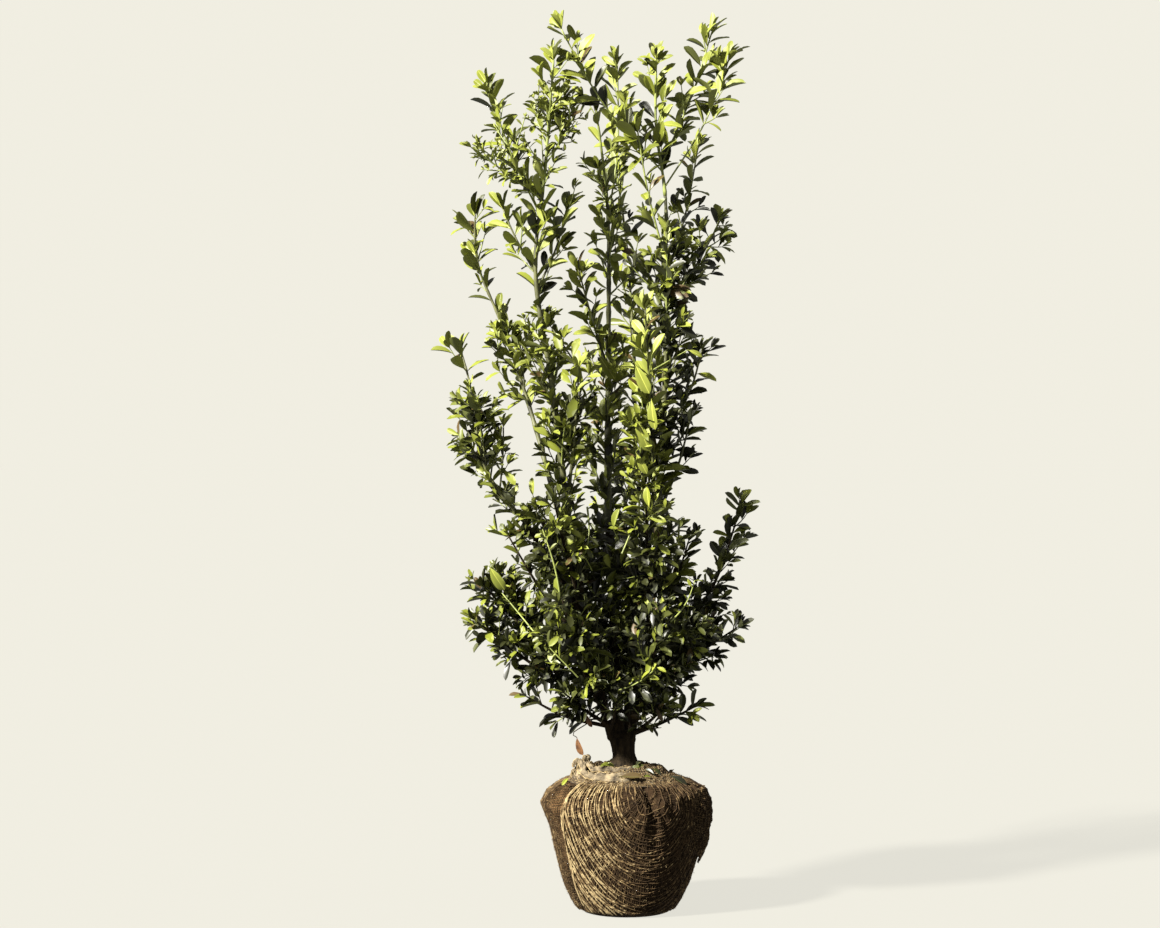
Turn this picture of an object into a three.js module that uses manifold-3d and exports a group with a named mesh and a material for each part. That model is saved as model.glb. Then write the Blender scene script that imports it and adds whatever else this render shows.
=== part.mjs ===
// A young evergreen holly sapling, lifted from the nursery row with its root ball wrapped in hessian.
// Millimetres, +Z up. The origin is the middle of the root ball's flat underside, and -Y is the front.
//
// The plant is one short trunk that forks into upright stems. Side shoots leave those stems, and the leaves
// gather round stems and shoots in masses with open gaps between them. Stems and shoots are curves: each
// bough is a bare stretch of wood on such a curve, and each mass is an uneven solid threaded on one.
import * as THREE from "three";
import { mergeVertices } from "three/addons/utils/BufferGeometryUtils.js";
import Module from "manifold-3d";

const wasm = await Module();
wasm.setup();

// ---- driving dimensions ----
const GAP = 0.4; // clearance between neighbours that touch
const FOOT_RADIUS = 62; // flat underside of the root ball
const SEAT_RADIUS = 30; // flat seat on the root ball, under the trunk
const SEAT_HEIGHT = 208;
const FORK_HEIGHT = 258; // where the trunk divides
const LEAF_REACH = 16; // how far the last leaves stand past the tip of their shoot
const LUMP = 0.13; // how far a mass swells and sinks, as a share of its half width

// ---- surfaces ----
const BARK = { color: 0x4a4234, roughness: 0.9, metalness: 0 };
const HESSIAN = { color: 0x8a7148, roughness: 0.95, metalness: 0 };
const OLD_LEAF = { color: 0x2c3a16, roughness: 0.45, metalness: 0 };
const YOUNG_LEAF = { color: 0x8ea51f, roughness: 0.5, metalness: 0 };

// ---- stems ----
const STEMS = {
  centre: [
    [-9, 0, 250], [-17, 11, 400], [-26, 22, 600], [-25, 32, 850], [-27, 16, 1030], [-45, -14, 1180],
  ],
  left: [
    [-20, -3, 250], [-56, -30, 400], [-90, -57, 620], [-108, -70, 770], [-131, -81, 930], [-117, -86, 1075],
    [-104, -89, 1240],
  ],
  left_back: [
    [-74, -43, 500], [-116, 22, 645], [-142, 57, 735], [-184, 73, 860], [-221, 78, 955], [-224, 68, 1036],
  ],
  right: [
    [7, -3, 250], [34, -16, 420], [50, -32, 640], [58, -40, 880], [56, -40, 1040], [43, -38, 1140],
    [43, -43, 1248],
  ],
  back: [
    [0, 9, 250], [8, 70, 400], [14, 119, 580], [16, 140, 780], [4, 138, 980], [-14, 124, 1110],
  ],
  far_left: [
    [-62, -35, 430], [-140, -81, 560], [-196, -97, 634], [-215, -97, 700], [-225, -89, 768],
    [-240, -81, 824],
  ],
};

// ---- shoots ----
// A shoot leaves its stem at a height and runs to its tip, hanging below the straight line by its sag.
const SHOOTS = {
  low_left: { on: "left", at: 268, tip: [-154, -54, 322], sag: 8 },
  low_left_limb: { on: "left", at: 300, tip: [-226, -59, 434], sag: 8 },
  left_shoulder: { on: "left", at: 345, tip: [-196, 8, 494], sag: 12 },
  low_right: { on: "right", at: 256, tip: [110, -30, 305], sag: 2 },
  right_arm: { on: "right", at: 318, tip: [170, -40, 422], sag: 0 },
  right_wand: { on: "right", at: 340, tip: [174, 5, 606], sag: 26 },
  front_left: { on: "left", at: 270, tip: [-96, -124, 474], sag: 12 },
  front_right: { on: "right", at: 265, tip: [50, -127, 456], sag: 12 },
  front_high_left: { on: "left", at: 430, tip: [-106, -122, 608], sag: 4 },
  front_high_right: { on: "right", at: 420, tip: [26, -127, 600], sag: 4 },
  back_left: { on: "back", at: 275, tip: [-98, 113, 540], sag: 20 },
  back_right: { on: "back", at: 275, tip: [64, 132, 480], sag: 14 },
  front_wand: { on: "right", at: 545, tip: [24, -140, 880], sag: 0 },
  side_shoot: { on: "centre", at: 790, tip: [-72, -76, 940], sag: 4 },
  left_wing: { on: "left", at: 1030, tip: [-230, -124, 1106], sag: 0 },
  left_tip: { on: "left", at: 1030, tip: [-204, -30, 1212], sag: 18 },
  top_left: { on: "right", at: 1075, tip: [-100, -84, 1284], sag: 14 },
  top_centre: { on: "centre", at: 1010, tip: [-12, 57, 1258], sag: 24 },
  top_right: { on: "right", at: 1085, tip: [130, 20, 1298], sag: 7 },
  far_right: { on: "right", at: 1052, tip: [155, -16, 1256], sag: 11 },
  right_hanger: { on: "right", at: 925, tip: [112, 84, 1140], sag: 13 },
  right_shoulder: { on: "right", at: 880, tip: [144, 35, 1020], sag: 6 },
};

// ---- bare wood ----
// Each bough runs up its curve between two heights, tapering from one radius to the other.
const BOUGHS = {
  left_bough: { on: "left", low: 252, high: 332, radii: [7.5, 6] },
  centre_bough: { on: "centre", low: 252, high: 332, radii: [8, 7] },
  right_bough: { on: "right", low: 252, high: 332, radii: [7, 6] },
  back_bough: { on: "back", low: 252, high: 332, radii: [5.5, 4.5] },
  low_right_bough: { on: "low_right", low: 257, high: 284, radii: [2.6, 2] },
  far_left_bough: { on: "far_left", low: 600, high: 668, radii: [3.6, 3.2] },
  far_left_wand: { on: "far_left", low: 740, high: 800, radii: [2.6, 2] },
  left_back_bough: { on: "left_back", low: 590, high: 760, radii: [5, 4.2] },
  centre_top_bough: { on: "centre", low: 820, high: 925, radii: [4.6, 4.2] },
  right_top_bough: { on: "right", low: 965, high: 1096, radii: [4, 3.2] },
  far_right_bough: { on: "far_right", low: 1053, high: 1170, radii: [2.8, 2.2] },
};

// ---- masses of leaves ----
// Each mass runs up its curve between two heights, or to the tip where no upper height is given. wide and
// deep are its half sizes across its curve. A mass named earlier stays whole, and later ones are cut to it.
const MASSES = {
  heart: { on: "centre", low: 286, high: 606, wide: 76, deep: 84, leaf: OLD_LEAF },
  front_left: { on: "front_left", low: 282, wide: 60, deep: 48, leaf: OLD_LEAF },
  front_right: { on: "front_right", low: 276, wide: 58, deep: 48, leaf: OLD_LEAF },
  front_high_left: { on: "front_high_left", low: 440, wide: 58, deep: 46, leaf: OLD_LEAF },
  front_high_right: { on: "front_high_right", low: 440, wide: 62, deep: 46, leaf: OLD_LEAF },
  back_left: { on: "back_left", low: 290, wide: 62, deep: 57, leaf: OLD_LEAF },
  back_right: { on: "back_right", low: 288, wide: 54, deep: 50, leaf: OLD_LEAF },
  back_high: { on: "back", low: 440, high: 690, wide: 78, deep: 50, leaf: OLD_LEAF },
  low_left_sprig: { on: "low_left", low: 276, wide: 22, deep: 23, leaf: OLD_LEAF },
  low_left_limb: { on: "low_left_limb", low: 318, wide: 36, deep: 46, leaf: OLD_LEAF },
  left_shoulder: { on: "left_shoulder", low: 366, wide: 44, deep: 55, leaf: OLD_LEAF },
  low_right_sprig: { on: "low_right", low: 276, wide: 19, deep: 21, leaf: OLD_LEAF },
  right_arm: { on: "right_arm", low: 322, wide: 34, deep: 39, leaf: OLD_LEAF },
  right_side: { on: "right_wand", low: 380, high: 505, wide: 38, deep: 48, leaf: OLD_LEAF },
  right_wand: { on: "right_wand", low: 492, wide: 28, deep: 30, leaf: OLD_LEAF },
  far_left_mass: { on: "far_left", low: 640, high: 770, wide: 41, deep: 43, leaf: OLD_LEAF },
  far_left_arm: { on: "far_left", low: 505, high: 632, wide: 30, deep: 34, leaf: OLD_LEAF },
  far_left_tip: { on: "far_left", low: 784, wide: 42, deep: 39, leaf: YOUNG_LEAF },
  left_column: { on: "left", low: 580, high: 752, wide: 38, deep: 41, leaf: OLD_LEAF },
  left_middle: { on: "left", low: 722, high: 880, wide: 50, deep: 50, leaf: OLD_LEAF },
  left_back_middle: { on: "left_back", low: 722, high: 872, wide: 42, deep: 48, leaf: OLD_LEAF },
  centre_column: { on: "centre", low: 575, high: 770, wide: 38, deep: 50, leaf: OLD_LEAF },
  centre_middle: { on: "centre", low: 730, high: 850, wide: 50, deep: 52, leaf: YOUNG_LEAF },
  right_column: { on: "right", low: 560, high: 745, wide: 52, deep: 52, leaf: OLD_LEAF },
  right_middle: { on: "right", low: 700, high: 890, wide: 62, deep: 62, leaf: OLD_LEAF },
  right_high: { on: "right", low: 862, high: 1004, wide: 52, deep: 52, leaf: OLD_LEAF },
  back_column: { on: "back", low: 660, high: 925, wide: 54, deep: 48, leaf: OLD_LEAF },
  back_tip: { on: "back", low: 900, wide: 40, deep: 43, leaf: OLD_LEAF },
  centre_high: { on: "centre", low: 885, high: 1050, wide: 66, deep: 59, leaf: OLD_LEAF },
  front_wand: { on: "front_wand", low: 600, wide: 26, deep: 27, leaf: YOUNG_LEAF },
  side_shoot: { on: "side_shoot", low: 810, wide: 24, deep: 27, leaf: YOUNG_LEAF },
  left_wand: { on: "left_back", low: 850, high: 936, wide: 26, deep: 30, leaf: YOUNG_LEAF },
  left_wand_tip: { on: "left_back", low: 926, wide: 38, deep: 41, leaf: YOUNG_LEAF },
  left_high: { on: "left", low: 866, high: 1066, wide: 41, deep: 48, leaf: YOUNG_LEAF },
  left_leader: { on: "left", low: 1046, wide: 45, deep: 48, leaf: YOUNG_LEAF },
  left_wing: { on: "left_wing", low: 1040, wide: 23, deep: 32, leaf: OLD_LEAF },
  left_tip: { on: "left_tip", low: 1056, wide: 32, deep: 34, leaf: YOUNG_LEAF },
  centre_tip: { on: "centre", low: 1034, wide: 33, deep: 39, leaf: YOUNG_LEAF },
  top_centre: { on: "top_centre", low: 1060, wide: 30, deep: 34, leaf: YOUNG_LEAF },
  right_leader: { on: "right", low: 1074, wide: 33, deep: 36, leaf: YOUNG_LEAF },
  top_left: { on: "top_left", low: 1096, wide: 32, deep: 34, leaf: YOUNG_LEAF },
  top_right: { on: "top_right", low: 1110, wide: 32, deep: 34, leaf: YOUNG_LEAF },
  far_right: { on: "far_right", low: 1146, wide: 29, deep: 32, leaf: YOUNG_LEAF },
  right_hanger: { on: "right_hanger", low: 960, wide: 25, deep: 30, leaf: OLD_LEAF },
  right_shoulder: { on: "right_shoulder", low: 896, wide: 34, deep: 39, leaf: OLD_LEAF },
};

// ---- curves ----
const curves = {};
for (const [name, points] of Object.entries(STEMS)) {
  const places = points.map((p) => new THREE.Vector3(...p));
  curves[name] = new THREE.CatmullRomCurve3(places, false, "centripetal");
}

// Every curve climbs all the way, so a height names one place on it. Gives that place's share of the curve.
function shareAtHeight(curve, height) {
  let low = 0;
  let high = 1;
  for (let step = 0; step < 30; step++) {
    const middle = (low + high) / 2;
    if (curve.getPointAt(middle).z < height) low = middle;
    else high = middle;
  }
  return low;
}

for (const [name, { on, at, tip, sag }] of Object.entries(SHOOTS)) {
  const start = curves[on].getPointAt(shareAtHeight(curves[on], at));
  const end = new THREE.Vector3(...tip);
  const line = end.clone().sub(start).normalize();
  const down = new THREE.Vector3(0, 0, -1).addScaledVector(line, line.z).normalize();
  const middle = start.clone().lerp(end, 0.5).addScaledVector(down, sag);
  curves[name] = new THREE.CatmullRomCurve3([start, middle, end], false, "centripetal");
}

// A place beside a curve: the point there, moved across the front and from front to back.
function beside(curve, share, across, inward) {
  const along = curve.getTangentAt(share);
  const right = new THREE.Vector3(1, 0, 0).addScaledVector(along, -along.x).normalize();
  const back = along.clone().cross(right);
  return curve.getPointAt(share).addScaledVector(right, across).addScaledVector(back, inward);
}

// ---- solids ----
// A geometry's vertices, merged by position, as a manifold-3d solid.
function toSolid(geometry) {
  geometry.deleteAttribute("normal");
  geometry.deleteAttribute("uv");
  const merged = mergeVertices(geometry, 1e-3);
  return new wasm.Manifold(
    new wasm.Mesh({
      numProp: 3,
      vertProperties: merged.attributes.position.array,
      triVerts: new Uint32Array(merged.index.array),
    }),
  );
}

function toGeometry(solid) {
  const { vertProperties, triVerts } = solid.getMesh();
  const geometry = new THREE.BufferGeometry();
  geometry.setAttribute("position", new THREE.BufferAttribute(new Float32Array(vertProperties), 3));
  return geometry.setIndex(new THREE.BufferAttribute(triVerts, 1));
}

// Moves every vertex of a geometry.
function reshape(geometry, place) {
  const position = geometry.getAttribute("position");
  const point = new THREE.Vector3();
  for (let i = 0; i < position.count; i++) {
    point.fromBufferAttribute(position, i);
    place(point);
    position.setXYZ(i, point.x, point.y, point.z);
  }
  return geometry;
}

// A number of its own for each name, so that each mass has its own lumps.
const seedOf = (name) => [...name].reduce((sum, letter) => (sum * 31 + letter.charCodeAt(0)) % 1009, 7);

// ---- wood ----
const TRUNK_PROFILE = [
  [0, 0], [25, 0], [19.5, 7], [16.5, 18], [15.5, 30], [17, 42], [17.5, 50], [0, 50],
];
const TRUNK_SIDES = 12;
const TRUNK_FLUTE = 0.07;
const FORK_SPREAD = 0.5; // how much broader the trunk is under the fork, from left to right
const TRUNK_LEAN = [-2, -8]; // where its middle stands at its foot and at the fork, left of centre

function trunkSolid(grow) {
  const height = FORK_HEIGHT - SEAT_HEIGHT;
  const profile = TRUNK_PROFILE.map(([r, z]) => new THREE.Vector2(r ? r + grow : 0, z ? z + grow : -grow));
  const geometry = new THREE.LatheGeometry(profile, TRUNK_SIDES).rotateX(Math.PI / 2);
  reshape(geometry, (p) => {
    const share = Math.max(0, p.z / height);
    const flute = 1 + TRUNK_FLUTE * Math.cos(3 * Math.atan2(p.y, p.x));
    const lean = TRUNK_LEAN[0] + (TRUNK_LEAN[1] - TRUNK_LEAN[0]) * share;
    p.set(p.x * flute * (1 + FORK_SPREAD * share ** 3) + lean, p.y * flute, p.z + SEAT_HEIGHT + GAP);
  });
  return toSolid(geometry);
}

const BOUGH_SIDES = 6;
const BOUGH_STEPS = 4;

function boughSolid({ on, low, high, radii }, grow) {
  const curve = curves[on];
  const from = shareAtHeight(curve, low);
  const to = shareAtHeight(curve, high);
  const geometry = new THREE.CylinderGeometry(1, 1, 1, BOUGH_SIDES, BOUGH_STEPS);
  reshape(geometry, (p) => {
    const share = p.y + 0.5;
    const radius = radii[0] + (radii[1] - radii[0]) * share + grow;
    p.copy(beside(curve, from + (to - from) * share, p.x * radius, -p.z * radius));
  });
  return toSolid(geometry);
}

// ---- leaves ----
const MASS_SIDES = 8;
const MASS_RINGS = 7;

// How full a mass is at a share of its length: it swells slowly off the wood and is blunt at its far end.
const fullness = (share) => Math.sin(Math.PI * share) ** (share < 0.5 ? 0.8 : 0.55);

function massSolid(name, { on, low, high, wide, deep }, grow) {
  const curve = curves[on];
  const seed = seedOf(name);
  const from = shareAtHeight(curve, low);
  const to = high ? shareAtHeight(curve, high) : 1;
  const reach = (high ? 0 : LEAF_REACH) + grow;
  const geometry = new THREE.SphereGeometry(1, MASS_SIDES, MASS_RINGS);
  reshape(geometry, (p) => {
    const share = Math.acos(Math.max(-1, Math.min(1, -p.y))) / Math.PI;
    const around = Math.atan2(p.z, p.x);
    const swell = Math.sin(2 * around + 4 * share + seed) + Math.sin(3 * around - 3 * share + 2 * seed);
    const full = fullness(share) * (1 + LUMP * swell);
    const across = Math.cos(around) * (wide * full + grow);
    const inward = -Math.sin(around) * (deep * full + grow);
    const end = share === 0 || share === 1;
    const place = beside(curve, from + (to - from) * share, end ? 0 : across, end ? 0 : inward);
    p.copy(place.addScaledVector(curve.getTangentAt(share < 0.5 ? from : to), reach * p.y * Math.abs(p.y)));
  });
  return toSolid(geometry);
}

// ---- root ball ----
// Half section of the wrapped ball, from the middle of its underside to the middle of the seat.
const BALL_PROFILE = [
  [0, 0], [FOOT_RADIUS, 0], [73, 6], [82, 20], [92, 42], [99, 66], [107, 94], [113, 122], [118, 144],
  [119, 158], [112, 175], [96, 188], [72, 196], [48, 203], [SEAT_RADIUS, SEAT_HEIGHT], [0, SEAT_HEIGHT],
];
const BALL_SIDES = 28;
const TUCKS = 5; // soft dents where the cloth is drawn up
const TUCK_DEPTH = 3;
const SHOULDER = { out: 8, height: 162, spread: 20 }; // the bundled corner at the left shoulder

function ballSolid() {
  const profile = BALL_PROFILE.map(([r, z]) => new THREE.Vector2(r, z));
  const geometry = new THREE.LatheGeometry(profile, BALL_SIDES).rotateX(Math.PI / 2);
  reshape(geometry, (p) => {
    const radius = Math.hypot(p.x, p.y);
    if (radius < SEAT_RADIUS + 1 || p.z === 0) return;
    const around = Math.atan2(p.y, p.x);
    const share = p.z / SEAT_HEIGHT;
    const tuck = TUCK_DEPTH * Math.sin(Math.PI * share) * Math.sin(TUCKS * around + p.z / 100);
    const near = Math.exp(-(((p.z - SHOULDER.height) / SHOULDER.spread) ** 2));
    const shoulder = SHOULDER.out * Math.max(0, -Math.cos(around)) ** 3 * near;
    const scale = 1 + (tuck + shoulder) / radius;
    p.set(p.x * scale, p.y * scale, p.z);
  });
  return toSolid(geometry);
}

// The cloth drawn in round the trunk: a rolled edge with the tied corner standing up from its left side.
const ROLL = { radius: 49, thick: 9, height: 202, tilt: 5 };
const KNOT = { centre: [-66, -22, 212], half: [13, 12, 13] };

function gatherSolid() {
  const roll = new THREE.TorusGeometry(ROLL.radius, ROLL.thick, 7, 24);
  reshape(roll, (p) => {
    const around = Math.atan2(p.y, p.x);
    const out = 1 + 0.08 * Math.sin(3 * around + 1) + 0.2 * Math.max(0, -Math.cos(around));
    const rise = ROLL.height - ROLL.tilt * Math.cos(around) + 1.5 * Math.sin(5 * around);
    p.set(p.x * out - 4, p.y * out, p.z * (1 + 0.2 * Math.sin(4 * around)) + rise);
  });
  const knot = new THREE.SphereGeometry(1, 8, 6);
  reshape(knot, (p) => {
    const lump = 1 + 0.14 * Math.sin(5 * Math.atan2(p.z, p.x) + 4 * p.y);
    const [x, y, z] = KNOT.centre;
    p.set(x + KNOT.half[0] * lump * p.x, y - KNOT.half[1] * lump * p.z, z + KNOT.half[2] * p.y);
  });
  return toSolid(roll).add(toSolid(knot));
}

// The loose corner folded down over the right shoulder, a leaf of cloth that lies against the ball.
const FLAP = { low: 72, high: 176, half: 0.6, turn: -0.12, proud: 9, thick: 5 };

function flapSolid() {
  const side = BALL_PROFILE.slice(1, -1);
  const section = new THREE.SplineCurve(side.map(([r, z]) => new THREE.Vector2(r, z)));
  const radiusAt = (height) => {
    let low = 0;
    let high = 1;
    for (let step = 0; step < 30; step++) {
      const middle = (low + high) / 2;
      if (section.getPoint(middle).y < height) low = middle;
      else high = middle;
    }
    return section.getPoint(low).x;
  };
  const geometry = new THREE.SphereGeometry(1, 10, 8);
  reshape(geometry, (p) => {
    const height = FLAP.low + ((FLAP.high - FLAP.low) * (p.y + 1)) / 2;
    const around = FLAP.turn - FLAP.half * p.z;
    const proud = 0.5 * FLAP.proud * Math.sqrt(Math.max(0, 1 - p.y ** 2));
    const radius = radiusAt(height) + proud + FLAP.thick * p.x;
    p.set(radius * Math.cos(around), radius * Math.sin(around), height);
  });
  return toSolid(geometry);
}

// ---- assembly ----
const group = new THREE.Group();
const cutters = []; // what stands already, each solid grown by the gap it keeps to its neighbours

function boxesMeet(a, b) {
  return [0, 1, 2].every((k) => a.min[k] <= b.max[k] && b.min[k] <= a.max[k]);
}

// Cuts a solid back from everything that stands, keeps its largest piece, and adds it to the group.
function stand(name, solid, grown, look) {
  let rest = solid;
  for (const cutter of cutters) {
    if (boxesMeet(rest.boundingBox(), cutter.boundingBox())) rest = rest.subtract(cutter);
  }
  const piece = rest.decompose().sort((a, b) => b.volume() - a.volume())[0];
  const mesh = new THREE.Mesh(toGeometry(piece), new THREE.MeshStandardMaterial(look));
  mesh.name = name;
  group.add(mesh);
  cutters.push(grown);
}

const ball = ballSolid();
const gather = gatherSolid();
stand("root_ball", ball, ball, HESSIAN);
stand("trunk", trunkSolid(0), trunkSolid(GAP), BARK);
stand("burlap_gather", gather.translate(0, 0, GAP), gather.translate(0, 0, GAP), HESSIAN);
stand("burlap_flap", flapSolid().translate(GAP, 0, 0), flapSolid(), HESSIAN);

for (const [name, row] of Object.entries(MASSES)) {
  stand(name, massSolid(name, row, 0), massSolid(name, row, GAP), row.leaf);
}
for (const [name, row] of Object.entries(BOUGHS)) {
  stand(name, boughSolid(row, 0), boughSolid(row, GAP), BARK);
}

export default group;
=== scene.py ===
"""Looks of a young holly lifted with its root ball: bark, twigs, leaves and the hessian wrapping."""

from math import cos, exp, pi, radians, sin, sqrt

import bpy
import numpy as np
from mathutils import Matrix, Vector, noise
from mathutils.bvhtree import BVHTree


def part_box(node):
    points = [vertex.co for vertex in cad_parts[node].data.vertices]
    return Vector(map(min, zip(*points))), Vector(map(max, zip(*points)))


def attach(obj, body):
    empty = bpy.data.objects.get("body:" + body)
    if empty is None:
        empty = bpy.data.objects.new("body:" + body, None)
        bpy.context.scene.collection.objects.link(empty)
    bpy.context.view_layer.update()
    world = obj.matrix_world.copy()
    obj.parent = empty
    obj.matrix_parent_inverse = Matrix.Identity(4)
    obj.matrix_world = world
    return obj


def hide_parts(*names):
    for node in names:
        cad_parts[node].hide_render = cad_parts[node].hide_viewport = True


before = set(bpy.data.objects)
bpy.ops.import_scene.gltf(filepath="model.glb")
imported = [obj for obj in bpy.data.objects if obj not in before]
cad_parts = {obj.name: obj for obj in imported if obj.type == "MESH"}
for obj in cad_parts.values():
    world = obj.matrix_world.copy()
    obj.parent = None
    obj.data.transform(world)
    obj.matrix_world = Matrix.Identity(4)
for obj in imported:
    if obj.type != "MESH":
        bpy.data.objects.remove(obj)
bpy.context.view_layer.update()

MM = 0.001
SUN_FROM = np.array([-0.66, -0.5, 0.56])
RNG = np.random.default_rng(11)
UP = np.array([0.0, 0.0, 1.0])
show = bpy.context.scene.collection.objects.link  # puts an object in the scene

# ---- the plant's design, as in the CAD model (mm)

STEMS = {
    "centre": [(-9, 0, 250), (-17, 11, 400), (-26, 22, 600), (-25, 32, 850), (-27, 16, 1030), (-45, -14, 1180)],
    "left": [(-20, -3, 250), (-56, -30, 400), (-90, -57, 620), (-108, -70, 770), (-131, -81, 930),
             (-117, -86, 1075), (-104, -89, 1240)],
    "left_back": [(-74, -43, 500), (-116, 22, 645), (-142, 57, 735), (-184, 73, 860), (-221, 78, 955),
                  (-224, 68, 1036)],
    "right": [(7, -3, 250), (34, -16, 420), (50, -32, 640), (58, -40, 880), (56, -40, 1040), (43, -38, 1140),
              (43, -43, 1248)],
    "back": [(0, 9, 250), (8, 70, 400), (14, 119, 580), (16, 140, 780), (4, 138, 980), (-14, 124, 1110)],
    "far_left": [(-62, -35, 430), (-140, -81, 560), (-196, -97, 634), (-215, -97, 700), (-225, -89, 768),
                 (-240, -81, 824)],
}

# shoot: (stem, height where it leaves, tip, sag)
SHOOTS = {
    "low_left": ("left", 268, (-154, -54, 322), 8),
    "low_left_limb": ("left", 300, (-226, -59, 434), 8),
    "left_shoulder": ("left", 345, (-196, 8, 494), 12),
    "low_right": ("right", 256, (110, -30, 305), 2),
    "right_arm": ("right", 318, (170, -40, 422), 0),
    "right_wand": ("right", 340, (174, 5, 606), 26),
    "front_left": ("left", 270, (-96, -124, 474), 12),
    "front_right": ("right", 265, (50, -127, 456), 12),
    "front_high_left": ("left", 430, (-106, -122, 608), 4),
    "front_high_right": ("right", 420, (26, -127, 600), 4),
    "back_left": ("back", 275, (-98, 113, 540), 20),
    "back_right": ("back", 275, (64, 132, 480), 14),
    "front_wand": ("right", 545, (24, -140, 880), 0),
    "side_shoot": ("centre", 790, (-72, -76, 940), 4),
    "left_wing": ("left", 1030, (-230, -124, 1106), 0),
    "left_tip": ("left", 1030, (-204, -30, 1212), 18),
    "top_left": ("right", 1075, (-100, -84, 1284), 14),
    "top_centre": ("centre", 1010, (-12, 57, 1258), 24),
    "top_right": ("right", 1085, (130, 20, 1298), 7),
    "far_right": ("right", 1052, (155, -16, 1256), 11),
    "right_hanger": ("right", 925, (112, 84, 1140), 13),
    "right_shoulder": ("right", 880, (144, 35, 1020), 6),
}

# shoots that fill in between the masses: (stem, height where it leaves, tip, sag, height of its first leaf, habit,
# shade, thinning)
BETWEEN = {
    "inner_front": ("left", 590, (-68, -106, 800), 6, 650, "column", 0.12, 2.2),
    "inner_right": ("right", 480, (14, -116, 716), 4, 600, "column", 0.12, 1.3),
    "right_out": ("right", 690, (112, -52, 830), 10, 750, "sprig", -0.3, 1),
    "right_out_low": ("right", 580, (94, -60, 728), 6, 640, "sprig", -0.22, 1.8),
    "left_out": ("left", 380, (-176, -84, 560), 8, 470, "bushy", 0.16, 2.4),
    "left_side": ("left", 330, (-212, -20, 480), 10, 410, "bushy", 0, 1),
    "centre_right": ("right", 940, (14, -60, 1140), 5, 990, "shoot", 0, 1.5),
    "left_inner_top": ("left", 900, (-84, -60, 1030), 6, 940, "shoot", 0, 1.2),
    "right_low_out": ("right", 300, (104, -90, 420), 6, 330, "bushy", 0, 1),
    "low_front_left": ("left", 270, (-96, -84, 330), 3, 290, "sprig", 0, 1),
    "fine_left": ("left", 1010, (-186, -108, 1150), 4, 1050, "fine", 0, 2.2),
    "far_left_low": ("far_left", 612, (-176, -104, 716), 4, 636, "bushy", 0.06, 3.4),
    "right_gap": ("right", 400, (92, -66, 552), 8, 462, "sprig", 0, 1.6),
    "left_fill": ("left", 925, (-182, -70, 1028), 3, 962, "shoot", 0, 1.3),
    "low_front": ("right", 256, (62, -68, 312), 3, 266, "fine", -0.1, 0.8),
    "low_front_middle": ("left", 262, (-12, -74, 322), 3, 292, "fine", -0.1, 0.75),
    "far_left_out": ("far_left", 560, (-232, -70, 690), 8, 640, "bushy", 0, 2.8),
    "leader_right": ("left", 1080, (-72, -84, 1160), 4, 1098, "fine", 0, 1),
}

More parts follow.
